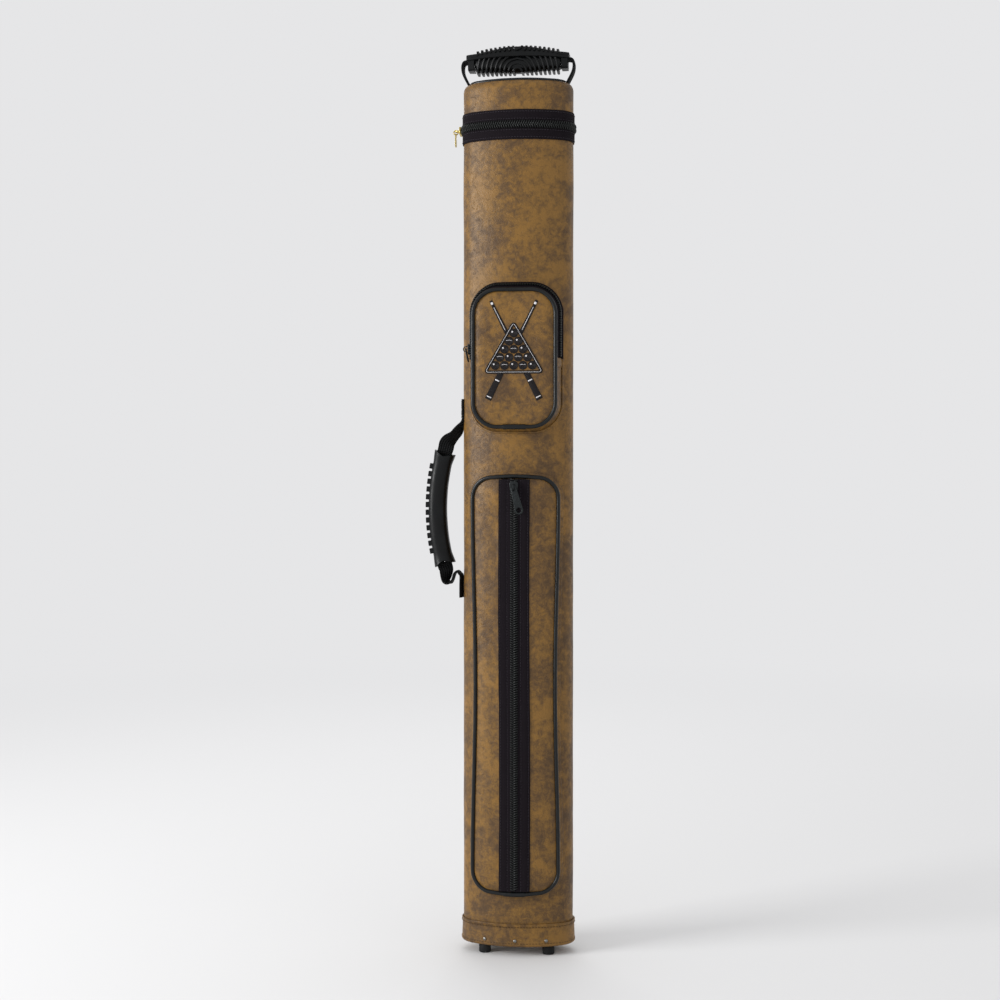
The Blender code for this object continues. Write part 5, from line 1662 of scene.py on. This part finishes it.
def grip_fins(shape, tip_at, way, stop, depth):
    """A comb of fins that follow circles round the middle of its tips and end in the band."""
    for radius in [FIN_PITCH * count for count in range(1, FIN_COUNT + 1)]:
        for side in (-1, 1):
            rings = []
            for rise in spaced(0, min(stop, radius), 8):
                turn = math.asin(min(rise / radius, 1))
                x = side * radius * math.cos(turn)
                across = Vector((side * math.cos(turn), 0, way * math.sin(turn)))
                place = Vector((x, 0, tip_at(x) + way * rise))
                deep = depth * narrowing(x) * (0.70 + 0.30 * math.sqrt(rise / stop))
                section = soft_section(FIN_HALF, deep, 16, 5.0)
                rings.append([place + across * a + Vector((0, b, 0)) for a, b in section])
            shape.tube(rings)


def make_top_grip():
    """An arched band with combs of curved fins above and below it, and a block under each end."""

    def band(shift):
        return lambda x: band_middle(x) + shift

    def belly(x):
        return TOP_GRIP_LOW.z + 0.0004 + 0.09 * min(abs(x), 0.03)

    def hood(x):
        return comb_top(x) - 0.0002 - 0.085 * min(max(abs(x) - 0.008, 0), 0.022)

    def block_foot(x):
        return TOP_GRIP_LOW.z + 0.0028

    shape, deep = Shape(), TOP_GRIP_HIGH.y - 0.0004
    ends = [-TOP_HALF, -TOP_HALF + 0.0005]
    length = [*ends, *spaced(-TOP_HALF + 0.002, TOP_HALF - 0.002, 50), -ends[1], -ends[0]]
    core = spaced(-0.0425, 0.0425, 40)
    grip_bar(shape, length, band(-BAND_HALF), band(BAND_HALF), deep, 6.0, 0.0004)
    grip_bar(shape, core, belly, band_middle, deep * 0.76, 2.8, 0.001)
    grip_bar(shape, core, band_middle, hood, deep * 0.90, 4.0, 0.001)
    grip_fins(shape, comb_bottom, 1, BAND_DROP + 0.0094, deep * 0.95)
    grip_fins(shape, comb_top, -1, BAND_DROP - BAND_HALF, deep * 1.12)
    for way in (-1, 1):
        block = [way * x for x in (0.0430, 0.0433, 0.0491, 0.0494)]
        grip_bar(shape, block, block_foot, band_middle, deep * 0.86, 6.0, 0.0004)
        rib = [way * x for x in (0.0390, 0.0392, 0.0460, 0.0462)]
        grip_bar(shape, rib, band(-0.0006), band(0.0006), deep + 0.0004, 6.0, 0.0002)
    piece("top_grip_moulding", shape, RUBBER, "top_handle", ["top_grip"], sharp=32)


def make_top_straps():
    """A short strap at each end, out of the cap's seam and into the grip."""
    thick, half = 0.0025, 0.0066
    route = [(0.0478, SEAM_Z - 0.0012), (0.0490, SEAM_Z + 0.0012), (0.0508, 0.8612), (0.0528, 0.8650)]
    route += [(0.0546, 0.8696), (0.0552, 0.8742), (0.0547, 0.8780), (0.0532, 0.8800)]
    route += [(0.0508, 0.8806), (0.0490, 0.8806)]
    for way, side in SIDES:
        stations = [station(way * x, z, half) for x, z in route]
        start, end = [Vector((way * 0.0522, 0, z)) for z in (0.8605, 0.8690)]
        olds = [f"top_strap_anchor_{side}", f"top_strap_{side}"]
        webbing(f"top_strap_webbing_{side}", stations, thick, 60, "cap", olds, ("top_handle", start, end))


# ---- Floor, lights and camera -------------------------------------------------------------------

WORLD_SHADE = (0.79, 0.79, 0.80)


def make_floor():
    """A wide pale floor that meets the pale world far away."""
    made, tree = new_material("pale_floor", (0.72, 0.72, 0.72, 1), 0.8, specular=0.1)
    split = node(tree, "SeparateXYZ", {"Vector": place_of(tree)})
    x2 = maths(tree, "MULTIPLY", split.outputs["X"], split.outputs["X"])
    far = maths(tree, "SQRT", maths(tree, "MULTIPLY_ADD", split.outputs["Y"], split.outputs["Y"], x2))
    glow = node(tree, "Emission", {"Color": (*WORLD_SHADE, 1), "Strength": 1.0})
    blend = node(tree, "MixShader", {0: span(tree, far, 0.5, 2.6)})
    tree.links.new(tree.nodes["Principled BSDF"].outputs[0], blend.inputs[1])
    tree.links.new(glow.outputs[0], blend.inputs[2])
    tree.links.new(blend.outputs[0], tree.nodes["Material Output"].inputs["Surface"])
    mesh = Shape().grid([[(x, y, 0) for x in (-40, 40)] for y in (-40, 40)]).mesh("floor")
    mesh.materials.append(made)
    placed("floor", mesh)


def make_studio():
    """A pale world and three soft lamps that face the middle of the case."""
    world = bpy.data.worlds.new("studio")
    world.use_nodes = True
    world.node_tree.nodes["Background"].inputs["Color"].default_value = (*WORLD_SHADE, 1)
    bpy.context.scene.world = world
    lamps = (
        ("key_light", (-2.1, -1.2, 0.95), 1.0, 51),
        ("fill_light", (1.9, -1.5, 0.9), 1.6, 1),
        ("rear_light", (-0.4, 1.9, 1.9), 1.4, 14),
    )
    for name, place, size, power in lamps:
        data = bpy.data.lights.new(name, "AREA")
        data.energy, data.size = power, size
        lamp, aim = placed(name, data), Vector((0, 0, 0.45)) - Vector(place)
        lamp.location, lamp.rotation_euler = place, aim.to_track_quat("-Z", "Y").to_euler()


def make_camera():
    """Level with the case's middle and a little to the right of its front."""
    data = bpy.data.cameras.new("camera")
    data.sensor_width, data.lens = 36, 60
    data.clip_start, data.clip_end = 0.05, 200
    camera = placed("camera", data)
    distance, turn, height = 1.65, math.radians(7), 0.475
    camera.location = (distance * math.sin(turn), -distance * math.cos(turn), height)
    target = sum((Vector(corner) for corner in CAD_BOX), Vector()) / 2
    camera.rotation_euler = (target - camera.location).to_track_quat("-Z", "Y").to_euler()
    bpy.context.scene.camera = camera


def dress_hidden_nodes():
    """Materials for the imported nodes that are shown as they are."""
    finishes = {
        WOOD: ("base_board",),
        FOAM: ("base_pad", "cue_core", "cap_foam_pad"),
        PLASTIC: ("tube_shell", "cap_shell"),
    }
    for finish, names in finishes.items():
        for material_slot in [slot for name in names for slot in frame["nodes"][name].material_slots]:
            material_slot.material = finish


make_camera()
make_studio()
make_floor()
make_body_skin()
make_rear_seam()
make_cup()
make_feet()
make_tacks()
make_inside()
make_cap_skin()
make_cap_top()
make_cap_zipper()
make_hinge_leather()
make_pocket_front()
make_pocket_walls()
make_zip_folds()
make_embroidery()
make_long_skins()
make_long_gusset()
make_long_piping()
make_long_zipper()
make_sliders()
make_cap_slider()
make_side_grip()
make_side_straps()
make_patch_stitches()
make_top_grip()
make_top_straps()
dress_hidden_nodes()

bpy.context.scene.view_settings.view_transform = "Standard"
